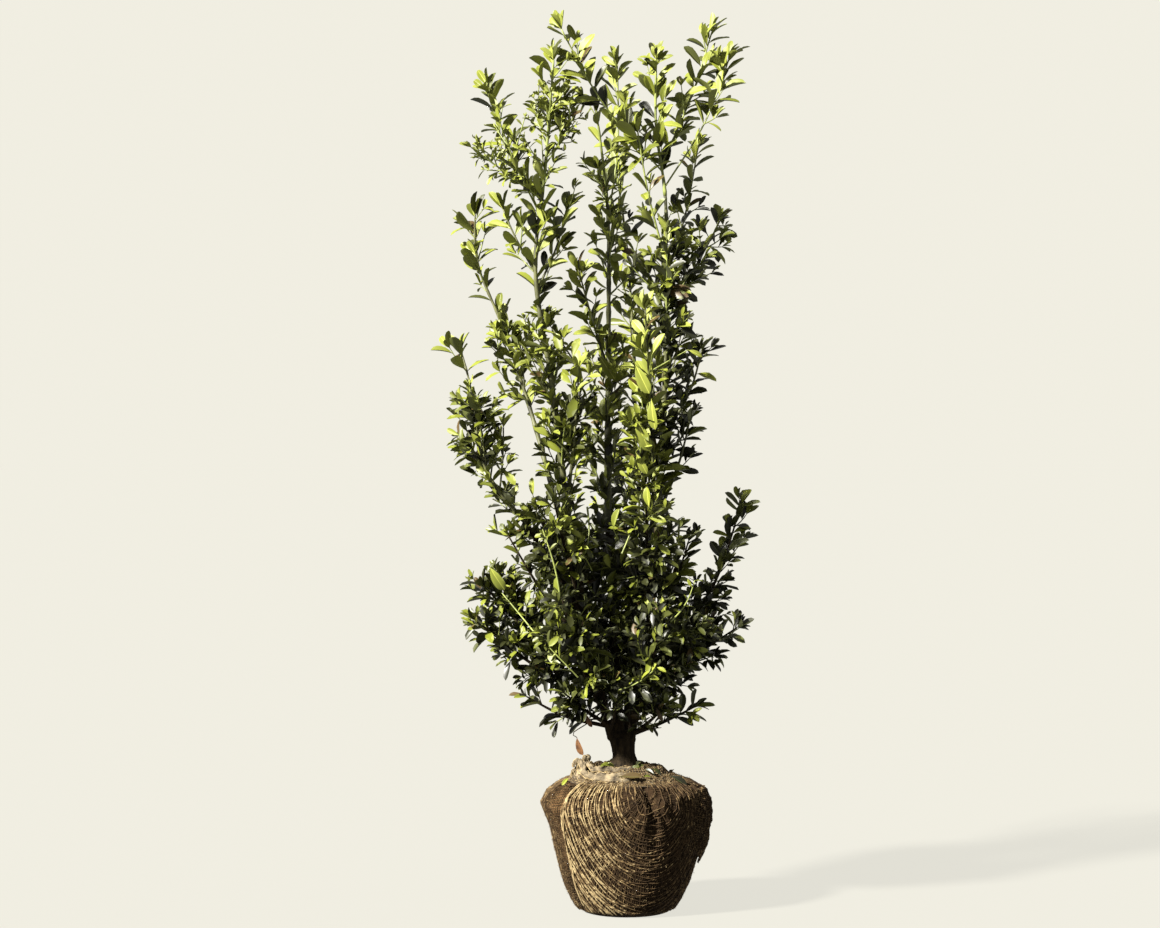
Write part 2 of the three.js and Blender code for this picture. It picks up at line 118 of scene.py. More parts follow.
# mass: (curve, low, high or None to its tip, habit, shade, thinning). The shade is how much lighter or darker than
# its height tells the foliage is. It is painted light and shade: lighter on the lit left, front and centre, and
# darker on the shaded right. It is partly also the foliage's age.
# The thinning is how much farther apart than its habit says twigs and leaves are.
MASSES = {
    "heart": ("centre", 304, 606, "dense", 0, 1.3),
    "front_left": ("front_left", 310, None, "dense", 0.06, 1),
    "front_right": ("front_right", 302, None, "dense", 0, 1),
    "front_high_left": ("front_high_left", 440, None, "dense", 0, 1),
    "front_high_right": ("front_high_right", 440, None, "dense", 0, 1),
    "back_left": ("back_left", 290, None, "dense", 0, 1),
    "back_right": ("back_right", 288, None, "dense", 0, 1),
    "back_high": ("back", 440, 690, "dense", 0, 1.3),
    "low_left_sprig": ("low_left", 276, None, "sprig", 0, 1.6),
    "low_left_limb": ("low_left_limb", 318, None, "bushy", 0.12, 1),
    "left_shoulder": ("left_shoulder", 366, None, "bushy", 0.16, 1),
    "low_right_sprig": ("low_right", 276, None, "sprig", 0, 1),
    "right_arm": ("right_arm", 322, None, "bushy", -0.08, 1.5),
    "right_side": ("right_wand", 380, 505, "bushy", -0.08, 1),
    "right_wand": ("right_wand", 492, None, "sprig", 0.08, 1.2),
    "far_left_mass": ("far_left", 640, 770, "column", 0, 1),
    "far_left_arm": ("far_left", 505, 632, "bushy", 0.06, 1.3),
    "far_left_tip": ("far_left", 784, None, "shoot", 0.24, 1),
    "left_column": ("left", 580, 752, "column", 0.08, 1.1),
    "left_middle": ("left", 722, 880, "column", 0, 1.5),
    "left_back_middle": ("left_back", 722, 872, "column", 0.12, 1.3),
    "centre_column": ("centre", 575, 770, "column", 0.18, 1.8),
    "centre_middle": ("centre", 730, 850, "column", 0.2, 2.3),
    "right_column": ("right", 612, 745, "column", -0.2, 1.2),
    "right_middle": ("right", 700, 890, "column", -0.34, 1.1),
    "right_high": ("right", 862, 984, "column", -0.26, 1.35),
    "back_column": ("back", 660, 925, "column", -0.05, 2.4),
    "back_tip": ("back", 900, None, "shoot", 0, 2),
    "centre_high": ("centre", 885, 1050, "column", 0.02, 2.1),
    "front_wand": ("front_wand", 600, None, "wand", 0.5, 1),
    "side_shoot": ("side_shoot", 810, None, "shoot", 0.15, 1),
    "left_wand": ("left_back", 850, 936, "shoot", 0.14, 2.2),
    "left_wand_tip": ("left_back", 926, None, "shoot", 0.16, 1.15),
    "left_high": ("left", 866, 1066, "shoot", 0, 1.1),
    "left_leader": ("left", 1046, 1165, "fine", 0.08, 1.7),
    "left_wing": ("left_wing", 1040, None, "fine", 0, 1.3),
    "left_tip": ("left_tip", 1056, None, "shoot", -0.04, 1),
    "centre_tip": ("centre", 1034, None, "shoot", 0.1, 2.1),
    "top_centre": ("top_centre", 1060, None, "shoot", 0.06, 1.2),
    "right_leader": ("right", 1074, None, "shoot", 0, 1.2),
    "top_left": ("top_left", 1096, None, "shoot", 0.08, 1.4),
    "top_right": ("top_right", 1110, None, "shoot", 0, 1),
    "far_right": ("far_right", 1146, None, "shoot", 0, 1),
    "right_hanger": ("right_hanger", 960, None, "sprig", -0.2, 1.2),
    "right_shoulder": ("right_shoulder", 896, None, "bushy", -0.2, 1.5),
}

# ---- small tools


def unit(v):
    return v / max(np.linalg.norm(v), 1e-12)


def turned(v, axis, angle):
    """v turned about axis by angle."""
    c, s = cos(angle), sin(angle)
    return v * c + np.cross(axis, v) * s + axis * np.dot(axis, v) * (1 - c)


def square_to(direction):
    """A unit vector square to direction."""
    other = UP if abs(direction[2]) < 0.9 else np.array([1.0, 0.0, 0.0])
    return unit(np.cross(direction, other))


def smooth(low, high, x):
    t = np.clip((x - low) / (high - low), 0, 1)
    return t * t * (3 - 2 * t)


def hump(x, width):
    """1 where x is 0, falling off to nothing some widths away."""
    return np.exp(-((x / width) ** 2))


class Curve:
    """A centripetal Catmull-Rom curve, walked by shares of its length. Points are given in mm."""

    def __init__(self, points):
        p = np.array(points, float) * MM
        p = np.vstack([2 * p[0] - p[1], p, 2 * p[-1] - p[-2]])
        runs = []
        for a, b, c, d in zip(p, p[1:], p[2:], p[3:]):
            d0, d1, d2 = (sqrt(np.linalg.norm(v)) for v in (b - a, c - b, d - c))
            t1 = ((b - a) / d0 - (c - a) / (d0 + d1) + (c - b) / d1) * d1
            t2 = ((c - b) / d1 - (d - b) / (d1 + d2) + (d - c) / d2) * d1
            t = np.linspace(0, 1, 30, endpoint=False)[:, None]
            runs.append(b + t1 * t + (3 * (c - b) - 2 * t1 - t2) * t**2 + (2 * (b - c) + t1 + t2) * t**3)
        self.points = np.vstack([*runs, p[-2][None]])
        steps = np.linalg.norm(np.diff(self.points, axis=0), axis=1)
        self.length = steps.sum()
        self.shares = np.concatenate([[0], np.cumsum(steps)]) / self.length

    def at(self, share):
        return np.stack([np.interp(share, self.shares, self.points[:, k]) for k in range(3)], axis=-1)

    def along(self, share):
        return unit(self.at(min(share + 0.01, 1.0)) - self.at(max(share - 0.01, 0.0)))

    def share_at(self, height):
        return float(np.interp(height * MM, self.points[:, 2], self.shares))


curves = {name: Curve(points) for name, points in STEMS.items()}
for name, (stem, height, tip, sag, *_) in {**SHOOTS, **BETWEEN}.items():
    start = curves[stem].at(curves[stem].share_at(height)) / MM
    line = unit(np.array(tip) - start)
    down = unit(-UP + line * line[2])
    curves[name] = Curve([start, (start + np.array(tip)) / 2 + down * sag, tip])


def tree_of(thing):
    """A tree of an object's faces, for casting rays."""
    return BVHTree.FromPolygons([v.co for v in thing.data.vertices], [p.vertices for p in thing.data.polygons])


BVH = {name: tree_of(node) for name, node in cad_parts.items()}

# ---- where the crown is

VOXEL = 4 * MM
BETWEEN_REACH = 24 * MM  # how far from a shoot in between the crown goes
CROWN_LOW = np.array([-0.31, -0.18, 0.24])
CROWN = np.zeros((135, 98, 275), bool)  # where the masses are


def fill_crown():
    """Marks the voxels inside any mass, column by column, and those close to the shoots in between."""
    centre = [CROWN_LOW[k] + (np.arange(CROWN.shape[k]) + 0.5) * VOXEL for k in range(3)]
    for name in MASSES:
        low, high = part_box(name)
        for i in np.flatnonzero((centre[0] > low[0]) & (centre[0] < high[0])):
            for j in np.flatnonzero((centre[1] > low[1]) & (centre[1] < high[1])):
                z, inside = low[2] - 0.01, False
                while True:
                    hit = BVH[name].ray_cast(Vector((centre[0][i], centre[1][j], z)), Vector((0, 0, 1)))
                    if hit[0] is None:
                        break
                    if inside:
                        CROWN[i, j, (centre[2] > z) & (centre[2] < hit[0][2])] = True
                    inside = not inside
                    z = hit[0][2] + 1e-5
    for name, row in BETWEEN.items():
        curve = curves[name]
        for share in np.linspace(curve.share_at(row[4]), 1, 30):
            spot = curve.at(share)
            i, j, k = (np.flatnonzero(np.abs(c - v) < BETWEEN_REACH) for c, v in zip(centre, spot))
            away = ((centre[0][i][:, None, None] - spot[0]) ** 2 + (centre[1][j][None, :, None] - spot[1]) ** 2
                    + (centre[2][k][None, None, :] - spot[2]) ** 2)
            CROWN[np.ix_(i, j, k)] |= away < BETWEEN_REACH**2


MARCH = np.arange(0, 0.13, 0.003)  # the steps at which room() looks


def room(point, direction):
    """How far the crown goes on from a point that way."""
    cells = ((point + direction * MARCH[:, None] - CROWN_LOW) / VOXEL).astype(int)
    cells = np.clip(cells, 0, np.array(CROWN.shape) - 1)
    within = CROWN[cells[:, 0], cells[:, 1], cells[:, 2]]
    return MARCH[-1] if within.all() else MARCH[np.argmin(within)]


fill_crown()

# ---- materials


def material(name, color, roughness, gloss=0.5, **sockets):
    mat = bpy.data.materials.new(name)
    mat.use_nodes = True
    shader = mat.node_tree.nodes["Principled BSDF"]
    shader.inputs["Base Color"].default_value = (*color, 1)
    shader.inputs["Roughness"].default_value = roughness
    shader.inputs["Specular IOR Level"].default_value = gloss
    for key, value in sockets.items():
        shader.inputs[key.replace("_", " ")].default_value = value
    return mat


def join(tree, one, out, other, into):
    """Links a shader node's output to another's input."""
    tree.links.new(one.outputs[out], other.inputs[into])


def mottle(mat, dark, light, scale, detail=6.0, stretch=(1, 1, 1), bump=0.0, middle=(0.35, 0.65), distance=0.001):
    """Colour that wanders between dark and light by noise, and a bump from the same noise."""
    tree = mat.node_tree
    shader = tree.nodes["Principled BSDF"]
    coords = tree.nodes.new("ShaderNodeTexCoord")
    mapping = tree.nodes.new("ShaderNodeMapping")
    mapping.inputs["Scale"].default_value = stretch
    cloud = tree.nodes.new("ShaderNodeTexNoise")
    cloud.inputs["Scale"].default_value = scale
    cloud.inputs["Detail"].default_value = detail
    cloud.inputs["Roughness"].default_value = 0.6
    ramp = tree.nodes.new("ShaderNodeValToRGB")
    ramp.color_ramp.elements[0].position, ramp.color_ramp.elements[1].position = middle
    ramp.color_ramp.elements[0].color = (*dark, 1)
    ramp.color_ramp.elements[1].color = (*light, 1)
    join(tree, coords, "Object", mapping, "Vector")
    join(tree, mapping, "Vector", cloud, "Vector")
    join(tree, cloud, "Fac", ramp, "Fac")
    join(tree, ramp, "Color", shader, "Base Color")
    if bump:
        node = tree.nodes.new("ShaderNodeBump")
        node.inputs["Strength"].default_value = bump
        node.inputs["Distance"].default_value = distance
        join(tree, cloud, "Fac", node, "Height")
        join(tree, node, "Normal", shader, "Normal")
    return mat


# upper faces of leaves, from the oldest and darkest to the youngest; the old ones are glossy
LEAF_TINTS = [
    material("leaf_deep", (0.0085, 0.0092, 0.003), 0.4, 0.35, Coat_Weight=0.16, Coat_Roughness=0.4),
    material("leaf_dark", (0.019, 0.0208, 0.005), 0.42, 0.35, Coat_Weight=0.14, Coat_Roughness=0.42),
    material("leaf_old", (0.042, 0.0475, 0.0085), 0.44, 0.32, Coat_Weight=0.08, Coat_Roughness=0.42),
    material("leaf_mid", (0.087, 0.1, 0.0125), 0.42, 0.35),
    material("leaf_green", (0.128, 0.145, 0.0155), 0.45, 0.3),
    material("leaf_young", (0.165, 0.186, 0.021), 0.48, 0.3),
    material("leaf_new", (0.17, 0.19, 0.028), 0.5, 0.3),
]
UNDER_TINTS = [material(name, color, 0.55) for name, color in (
    ("under_old", (0.034, 0.038, 0.013)), ("under_mid", (0.088, 0.1, 0.02)), ("under_young", (0.185, 0.205, 0.034)))]
RIB_TINTS = [material(name, color, 0.45) for name, color in (
    ("rib_old", (0.07, 0.078, 0.018)), ("rib_mid", (0.17, 0.185, 0.03)), ("rib_young", (0.34, 0.35, 0.06)))]
BRONZE = material("leaf_bronze", (0.064, 0.042, 0.014), 0.4, 0.35)
LEAF_MATERIALS = [*LEAF_TINTS, *UNDER_TINTS, *RIB_TINTS, BRONZE]
BRONZE_SHARE = 0.05  # of the leaves of middling age
# for each tint of upper face, its underside and its midrib, as places in LEAF_MATERIALS
UNDER_OF = [len(LEAF_TINTS) + k for k in (0, 0, 1, 1, 2, 2, 2)]
RIB_OF = [len(LEAF_TINTS) + len(UNDER_TINTS) + k for k in (0, 0, 0, 1, 1, 2, 2)]

BARK = mottle(material("bark", (0.021, 0.0142, 0.007), 0.9, 0.15), (0.0055, 0.0034, 0.0016),
              (0.034, 0.0235, 0.0115), 160, stretch=(1, 1, 0.35), bump=0.6)
GREEN_BARK = mottle(material("green_bark", (0.072, 0.072, 0.024), 0.6), (0.028, 0.028, 0.012),
                    (0.112, 0.116, 0.036), 120, stretch=(1, 1, 0.3), bump=0.3)
YOUNG_WOOD = mottle(material("young_wood", (0.2, 0.224, 0.048), 0.5), (0.128, 0.152, 0.036), (0.24, 0.272, 0.064),
                    90)
WOODS = [BARK, GREEN_BARK, YOUNG_WOOD]

# ---- mesh building


class Heap:
    """Faces gathered piece by piece and made into one mesh object."""

    def __init__(self):
        self.verts, self.quads, self.tints, self.count = [], [], [], 0

    def add(self, verts, quads, tints):
        self.verts.append(np.asarray(verts, float).reshape(-1, 3))
        self.quads.append(np.asarray(quads, int).reshape(-1, 4) + self.count)
        self.tints.append(np.broadcast_to(np.asarray(tints, int), (len(self.quads[-1]),)))
        self.count += len(self.verts[-1])

    def build(self, name, materials, slot, *nodes):
        verts, quads, tints = (np.concatenate(part) for part in (self.verts, self.quads, self.tints))
        mesh = bpy.data.meshes.new(name)
        mesh.vertices.add(len(verts))
        mesh.vertices.foreach_set("co", verts.ravel())
        mesh.loops.add(quads.size)
        mesh.loops.foreach_set("vertex_index", quads.ravel())
        mesh.polygons.add(len(quads))
        mesh.polygons.foreach_set("loop_start", np.arange(0, quads.size, 4))
        mesh.polygons.foreach_set("material_index", tints)
        mesh.update(calc_edges=True)
        mesh.shade_smooth()
        return piece(name, mesh, materials, slot, *nodes)


def piece(name, mesh, materials, slot, *nodes):
    """A mesh as an object of the plant, standing for CAD nodes."""
    thing = bpy.data.objects.new(name, mesh)
    show(thing)
    for mat in materials:
        mesh.materials.append(mat)
    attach(thing, "root")
    if nodes:
        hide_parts(*nodes)
    return thing


def settle(thing):
    """Applies an object's modifiers to its mesh, keeping its materials."""
    bpy.context.view_layer.update()
    shown = thing.evaluated_get(bpy.context.evaluated_depsgraph_get())
    mesh = bpy.data.meshes.new_from_object(shown)
    thing.modifiers.clear()
    thing.data = mesh


def thicken(sheet, thickness):
    """Gives a sheet its thickness, inwards."""
    sheet.modifiers.new("thickness", "SOLIDIFY").thickness = thickness
    settle(sheet)


def ring_quads(rings, sides):
    """The quads of a tube of rings, each of so many sides."""
    ring = np.arange(sides)
    ahead = (ring + 1) % sides
    step = np.stack([ring, ahead, ahead + sides, ring + sides], axis=1)
    return np.concatenate([step + k * sides for k in range(rings - 1)])


def grid_quads(rows, cols, closed):
    """The quads of a grid of rows by cols vertices, closed from its last row to its first or open."""
    i, j = np.meshgrid(np.arange(rows if closed else rows - 1), np.arange(cols - 1), indexing="ij")
    k = (i + 1) % rows
    return np.stack([i * cols + j, k * cols + j, k * cols + j + 1, i * cols + j + 1], axis=-1).reshape(-1, 4)


def tube(heap, path, radii, sides, tint, closed_tip=True):
    """A tapering tube along a path, its ends drawn to a point or left open, in one tint or one for each point."""
    path = np.asarray(path, float)
    radii = np.asarray(radii, float)
    if closed_tip:
        path = np.vstack([path[0], path, path[-1]])
        radii = np.concatenate([[radii[0] * 0.02], radii, [radii[-1] * 0.02]])
    rings = len(path)
    ahead = np.gradient(path, axis=0)
    ahead[0], ahead[-1] = ahead[1], ahead[-2]
    side = square_to(unit(ahead[0]))
    verts = np.empty((rings, sides, 3))
    angles = np.arange(sides) * (2 * pi / sides)
    for k in range(rings):
        a = unit(ahead[k])
        side = unit(side - a * np.dot(side, a))
        other = np.cross(a, side)
        verts[k] = path[k] + radii[k] * (np.cos(angles)[:, None] * side + np.sin(angles)[:, None] * other)
    if np.ndim(tint):
        tint = np.repeat(np.append(tint, [tint[-1]])[:rings - 1], sides)
    heap.add(verts, ring_quads(rings, sides), tint)


# ---- leaves


def leaf_shape(stations, ribbed, fold, bend, wide, wave):
    """A leaf one unit long on +X, its face to +Z: a wedge at the stalk, widest past the middle, blunt at the tip.
    Gives its vertices, its quads, and each quad's kind: 0 upper face, 1 underside, 2 midrib."""
    t = np.array(stations)
    half = wide * 1.45 * np.maximum(t - 0.07, 0) ** 0.9 * np.maximum(1 - t, 0) ** 0.55 + 0.012
    rib = 0.02 * (1 - 0.7 * t)
    spine = bend * t**2
    lift = fold * half
    ripple = wave * np.sin(9 * t) * half

    def row(y, z):
        return np.stack([t * (1 - 0.12 * abs(bend)), y * np.ones_like(t), spine + z], axis=1)

    middle = 0.55 * lift + 0.02 * (half > 0.03)
    if ribbed:
        top = [row(-half, lift + ripple), row(-half * 0.55, middle), row(-rib, 0 * t), row(rib, 0 * t),
               row(half * 0.55, middle), row(half, lift - ripple)]
        kinds = [0, 0, 2, 0, 0]
    else:
        top = [row(-half, lift + ripple), row(0 * t, 0 * t), row(half, lift - ripple)]
        kinds = [0, 0]
    under = [row(half, lift - ripple), row(0 * t, 0 * t - 0.02), row(-half, lift + ripple)]
    verts, quads, faces = [], [], []
    for rows, what in ((top, kinds), (under, [1, 1])):
        base = sum(len(v) for v in verts)
        verts.extend(rows)
        count = len(t)
        for j, kind in enumerate(what):
            for k in range(count - 1):
                a = base + j * count + k
                quads.append((a, a + 1, a + count + 1, a + count))
                faces.append(kind)
    return np.concatenate(verts), np.array(quads), np.array(faces)


FULL = [0, 0.07, 0.2, 0.38, 0.58, 0.78, 0.93, 1.0]
PLAIN = [0, 0.09, 0.32, 0.62, 0.88, 1.0]
LEAVES = {True: [], False: []}
for fold, bend, wide, wave in ((0.45, -0.12, 0.36, 0.1), (0.35, -0.24, 0.32, 0.0), (0.6, 0.06, 0.33, 0.12),
                               (0.25, -0.36, 0.38, 0.15), (0.8, -0.18, 0.34, 0.05)):
    LEAVES[True].append(leaf_shape(FULL, True, fold, bend, wide, wave))
    LEAVES[False].append(leaf_shape(PLAIN, False, fold, bend, wide, wave))


def placed(verts, base, direction, facing, length):
    """A leaf's vertices where it grows: from base along direction, its face turned to facing."""
    x = unit(direction)
    z = unit(facing - x * np.dot(facing, x))
    y = np.cross(z, x)
    return base + length * (verts[:, :1] * x + verts[:, 1:2] * y + verts[:, 2:] * z)


class Foliage:
    """Leaves noted one by one, then made into one mesh of a zone of the crown."""

    def __init__(self):
        self.heap = Heap()

    def leaf(self, base, direction, facing, length, tint, full):
        shapes = LEAVES[full]
        verts, quads, kinds = shapes[RNG.integers(len(shapes))]
        table = np.array([tint, UNDER_OF[tint], RIB_OF[tint]])
        if 2 <= tint <= 4 and RNG.random() < BRONZE_SHARE:
            table[0] = len(LEAF_MATERIALS) - 1
        self.heap.add(placed(verts, base, direction, facing, length), quads, table[kinds])


# leaf: shortest and longest, mm. gap: between leaves on a twig. twig_gap: between twigs on the axis.
# axis_gap: between leaves on the axis itself, 0 for none. spread: how far twigs lean out, degrees.
HABITS = {
    "dense": dict(leaf=(27, 40), gap=9.6, twig_gap=8, axis_gap=0, spread=(35, 80), twig=(10, 80), forks=2, tip=4),
    "bushy": dict(leaf=(26, 39), gap=10, twig_gap=8.5, axis_gap=13, spread=(30, 65), twig=(8, 60), forks=1, tip=4),
    "column": dict(leaf=(28, 40), gap=10.5, twig_gap=10, axis_gap=12, spread=(18, 55), twig=(10, 95), forks=1,
                   tip=4),
    "sprig": dict(leaf=(28, 40), gap=12, twig_gap=24, axis_gap=9, spread=(30, 55), twig=(8, 30), forks=0, tip=3),
    "shoot": dict(leaf=(34, 47), gap=12, twig_gap=28, axis_gap=11, spread=(22, 48), twig=(12, 50), forks=0, tip=4),
    "wand": dict(leaf=(40, 54), gap=14, twig_gap=40, axis_gap=13, spread=(22, 44), twig=(12, 40), forks=0, tip=4),
    "fine": dict(leaf=(11, 27), gap=8, twig_gap=8, axis_gap=13, spread=(30, 65), twig=(12, 70), forks=2, tip=5),
}

TURN = 2.4  # from one leaf or twig to the next, round the stem
FORK_CHANCE = 0.34  # that a side twig leaves where a leaf does
TIP_TUFT = 12 * MM  # a shoot's wood stops this far short of the leaves that end it


def age_and_light_at(z):
    """0 where the leaves are old and dark, 1 where they are new, by height in mm. The rise with height is partly the
    leaves' age and partly painted light and shade: painted shade low in the crown, painted light at the top.
    """
    return 0.2 + 0.22 * smooth(480, 660, z) + 0.2 * smooth(700, 840, z) + 0.18 * smooth(930, 1120, z)


def tint_for(mass, point, extra):
    """The tint of a leaf's upper face: older and in painted shade low down, younger and in painted light high up,
    with its mass's painted light and shade added, straying more towards the top.
    """
    stray = 0.2 + 0.11 * smooth(0.75, 1.0, point[2])
    level = age_and_light_at(point[2] / MM) + SHADE.get(mass, 0) + extra + RNG.normal(0, stray)
    return int(np.clip(level * len(LEAF_TINTS), 0, len(LEAF_TINTS) - 1))


SHOWN = {"right_wand", "right_leader", "top_left"}  # shoots whose leaves turn their faces to the front


def grow_leaf(foliage, mass, base, stem, out, size, spray, full, keep=0.01):
    """A leaf on a twig that runs along stem, leaning out. It's shortened where its mass ends."""
    direction = unit(stem * RNG.uniform(0.35, 1.0) + out * RNG.uniform(0.6, 1.0) + UP * RNG.uniform(-0.1, 0.25))
    length = max(min(size, room(base, direction) + keep), 0.6 * size)
    toward, stray = (1.05, 0.42) if full else (0.75, 0.5)
    front = -0.9 if mass in SHOWN else 0.0
    facing = unit(UP * 0.5 + stem * 0.3 + SUN_FROM * toward + np.array([0, front, 0]) + RNG.normal(0, stray, 3))
    foliage.leaf(base, direction, facing, length, tint_for(mass, base, spray), full)


def grow_twig(wood, foliage, mass, start, direction, length, radius, habit, spray, full, forks):
    """A twig with leaves in a spiral, side twigs of its own, and a tuft at its tip."""
    rule = HABITS[habit]
    steps = 5
    bend = UP * RNG.uniform(0.1, 0.35) + RNG.normal(0, 0.1, 3)
    share = np.linspace(0, 1, steps)[:, None]
    path = start + direction * length * share + bend * length * share**2 * 0.6
    wood.append((path, np.linspace(radius, 0.0006, steps), habit))
    whirl = RNG.uniform(0, 2 * pi)
    run = RNG.uniform(3, 6) * MM
    small, large = rule["leaf"]
    while run < length:
        t = run / length
        base = start + direction * length * t + bend * length * t * t * 0.6
        heading = unit(direction + bend * 1.2 * t)
        out = turned(square_to(heading), heading, whirl)
        size = RNG.uniform(small, large) * MM * (1 - 0.25 * t)
        grow_leaf(foliage, mass, base, heading, out, size, spray + 0.06 * t, full)
        if forks and RNG.random() < FORK_CHANCE and length * (1 - t) > 0.012:
            side_dir = unit(heading + out * RNG.uniform(0.6, 1.2))
            side_len = min(length * 0.6, room(base, side_dir) * 0.9)
            if side_len > 0.008:
                grow_twig(wood, foliage, mass, base, side_dir, side_len, radius * 0.7, habit,
                          spray + RNG.normal(0, 0.05), full, forks - 1)
        whirl += TURN
        run += rule["gap"] * MM * RNG.uniform(0.75, 1.25)
    end = path[-1]
    heading = unit(direction + bend * 1.2)
    for k in range(rule["tip"]):
        out = turned(square_to(heading), heading, whirl + k * TURN)
        size = RNG.uniform(0.6, 0.95) * small * MM * (1 - 0.1 * k)
        grow_leaf(foliage, mass, end, heading * 1.6, out * 0.7, size, spray + 0.12, full)


def grow_mass(name, wood, foliage):
    """Fills one mass: leaves along its axis, and twigs that leave it in a spiral and run to its surface."""
    on, low, high, habit, _, thin = PLAN[name]
    rule = HABITS[habit]
    curve = curves[on]
    first = curve.share_at(low)
    last = curve.share_at(high) if high else 1 - TIP_TUFT / curve.length
    full = habit in ("shoot", "sprig", "wand")
    small, large = rule["leaf"]
    whirl = RNG.uniform(0, 2 * pi)
    run = first * curve.length
    end = last * curve.length
    while run < end:
        share = run / curve.length
        base, heading = curve.at(share), curve.along(share)
        out = turned(square_to(heading), heading, whirl)
        lean = radians(RNG.uniform(*rule["spread"]))
        direction = unit(heading * cos(lean) + out * sin(lean))
        shortest, longest = (v * MM for v in rule["twig"])
        length = min(room(base, direction) - 0.006, longest) * RNG.uniform(0.6, 1.0)
        if length > shortest:
            radius = np.interp(length, [0.01, 0.07], [0.0009, 0.0017])
            grow_twig(wood, foliage, name, base, direction, length, radius, habit,
                      RNG.normal(0, 0.13), full, rule["forks"])
        whirl += TURN
        run += rule["twig_gap"] * MM * RNG.uniform(0.7, 1.3) * thin
    if rule["axis_gap"]:
        run = first * curve.length
        while run < end:
            share = run / curve.length
            base, heading = curve.at(share), curve.along(share)
            out = turned(square_to(heading), heading, whirl)
            size = RNG.uniform(small, large) * MM
            grow_leaf(foliage, name, base, heading, out, size, 0.0, full)
            whirl += TURN
            crowd = 1.0 if high else 1 - 0.45 * smooth(0.6, 1.0, (share - first) / (last - first))
            run += rule["axis_gap"] * MM * RNG.uniform(0.75, 1.25) * crowd * thin
    if not high:
        end, heading = curve.at(last), curve.along(last)
        for k in range(5):
            out = turned(square_to(heading), heading, whirl + k * TURN)
            size = RNG.uniform(0.5, 0.8) * large * MM * (1 - 0.08 * k)
            grow_leaf(foliage, name, end, heading * 1.8, out * 0.6, size, 0.1, full, keep=0.012)


PLAN = {**MASSES, **{name: (name, low, None, *rest) for name, (_, _, _, _, low, *rest) in BETWEEN.items()},
        "left_leader_top": ("left", 1150, None, "shoot", 0, 1)}
# the shade of each mass: painted light and shade added to its leaves' tints
SHADE = {name: row[4] for name, row in PLAN.items()}
ZONES = {"foot": (0, 420), "low": (420, 640), "middle": (640, 900), "top": (900, 2000)}
zone_of = {}
for name, (on, low, high, *_) in PLAN.items():
    height = (low + (high or curves[on].points[-1][2] / MM)) / 2
    zone_of[name] = next(zone for zone, (a, b) in ZONES.items() if a <= height < b)

# young leaves that stand out before the old ones: (across, height, way the leaf points in degrees up from
# the right, length, tint)
YOUNG = [
    (-196, 506, -62, 40, 6), (-182, 480, -50, 30, 5), (-134, 606, 100, 27, 5), (48, 470, 52, 37, 6),
    (48, 466, -80, 27, 6), (-22, 322, 22, 32, 3), (97, 404, 80, 16, 6), (-20, 560, 80, 30, 4),
    (-60, 520, 120, 28, 4), (30, 590, 100, 30, 5), (40, 610, 75, 32, 6), (-100, 550, 70, 30, 4),
    (10, 792, -66, 46, 6), (33, 744, -90, 44, 6), (12, 716, -74, 50, 6), (12, 668, -66, 34, 6),
    (-40, 812, -58, 44, 5), (-22, 852, -28, 34, 5), (84, 812, -20, 22, 6), (34, 806, 64, 34, 5),
    (24, 700, 40, 30, 5),
]

# young twigs that show before the old leaves: from (across, height) to (across, height)
LIT_TWIGS = [((-128, 408), (-204, 490)), ((-19, 327), (41, 365)), ((-57, 591), (-60, 526)), ((-8, 525), (25, 640)),
             ((-96, 470), (-120, 560)), ((60, 430), (96, 486)), ((-70, 350), (-110, 392))]


def before_masses(across, height):
    """The point just inside the foremost mass there, as seen from the front."""
    start = Vector((across * MM, -0.3, height * MM))
    hits = [BVH[name].ray_cast(start, Vector((0, 1, 0)))[0] for name in MASSES]
    front = min((hit[1] for hit in hits if hit is not None), default=-0.1)
    return np.array([across * MM, max(front, -0.142) + 0.004, height * MM])


YOUNG_REACH = 60 * MM  # how far before the front wand the row of bright leaves hangs,
YOUNG_FRONT = -149 * MM  # and how far forward it may come


def young_leaf(foliage, wood, across, height, pointing, length, tint):
    """One leaf on a short twig, standing just before the masses where the front shows it."""
    base = before_masses(across, height)
    angle = radians(pointing)
    direction = unit(np.array([cos(angle), -0.12, sin(angle)]))
    back = base + np.array([0.01, 0.035, -0.02])
    if 640 < height < 830 and across > 0:
        wand = curves["front_wand"]
        back = wand.at(wand.share_at(height - 30))
        base[1] = max(back[1] - YOUNG_REACH, YOUNG_FRONT)
    wood.append((np.linspace(back, base, 4), np.linspace(0.0012, 0.0007, 4), "shoot"))
    foliage.leaf(base, direction, unit(SUN_FROM + np.array([0.1, -0.35, 0.1])), length * MM, tint, True)


twigs = []
for zone in ZONES:
    foliage = Foliage()
    if zone == "low":
        for row in YOUNG:
            young_leaf(foliage, twigs, *row)
        for low_end, high_end in LIT_TWIGS:
            ends = [before_masses(*low_end), before_masses(*high_end)]
            share = np.linspace(0, 1, 8)[:, None]
            sway = np.array([0.004, -0.003, -0.004]) * np.sin(pi * share)
            path = ends[0] * (1 - share) + ends[1] * share + sway
            twigs.append((path, np.linspace(0.0015, 0.0009, 8), "shoot"))
            along = unit(path[7] - path[0])
            for k in range(2, 8):
                out = turned(np.array([0, -1.0, 0]), along, (1.2 if k % 2 else -1.2) + RNG.normal(0, 0.3))
                # the leaves on these lit twigs are made lighter: painted light
                grow_leaf(foliage, "lit", path[k], along, out, RNG.uniform(0.016, 0.026), 0.25, True)
    names = [name for name in PLAN if zone_of[name] == zone]
    for name in names:
        grow_mass(name, twigs, foliage)
    foliage.heap.build(f"leaves_{zone}", LEAF_MATERIALS, "young_leaf" if zone == "top" else "old_leaf",
                       *(name for name in names if name in MASSES))

# ---- stems and twigs

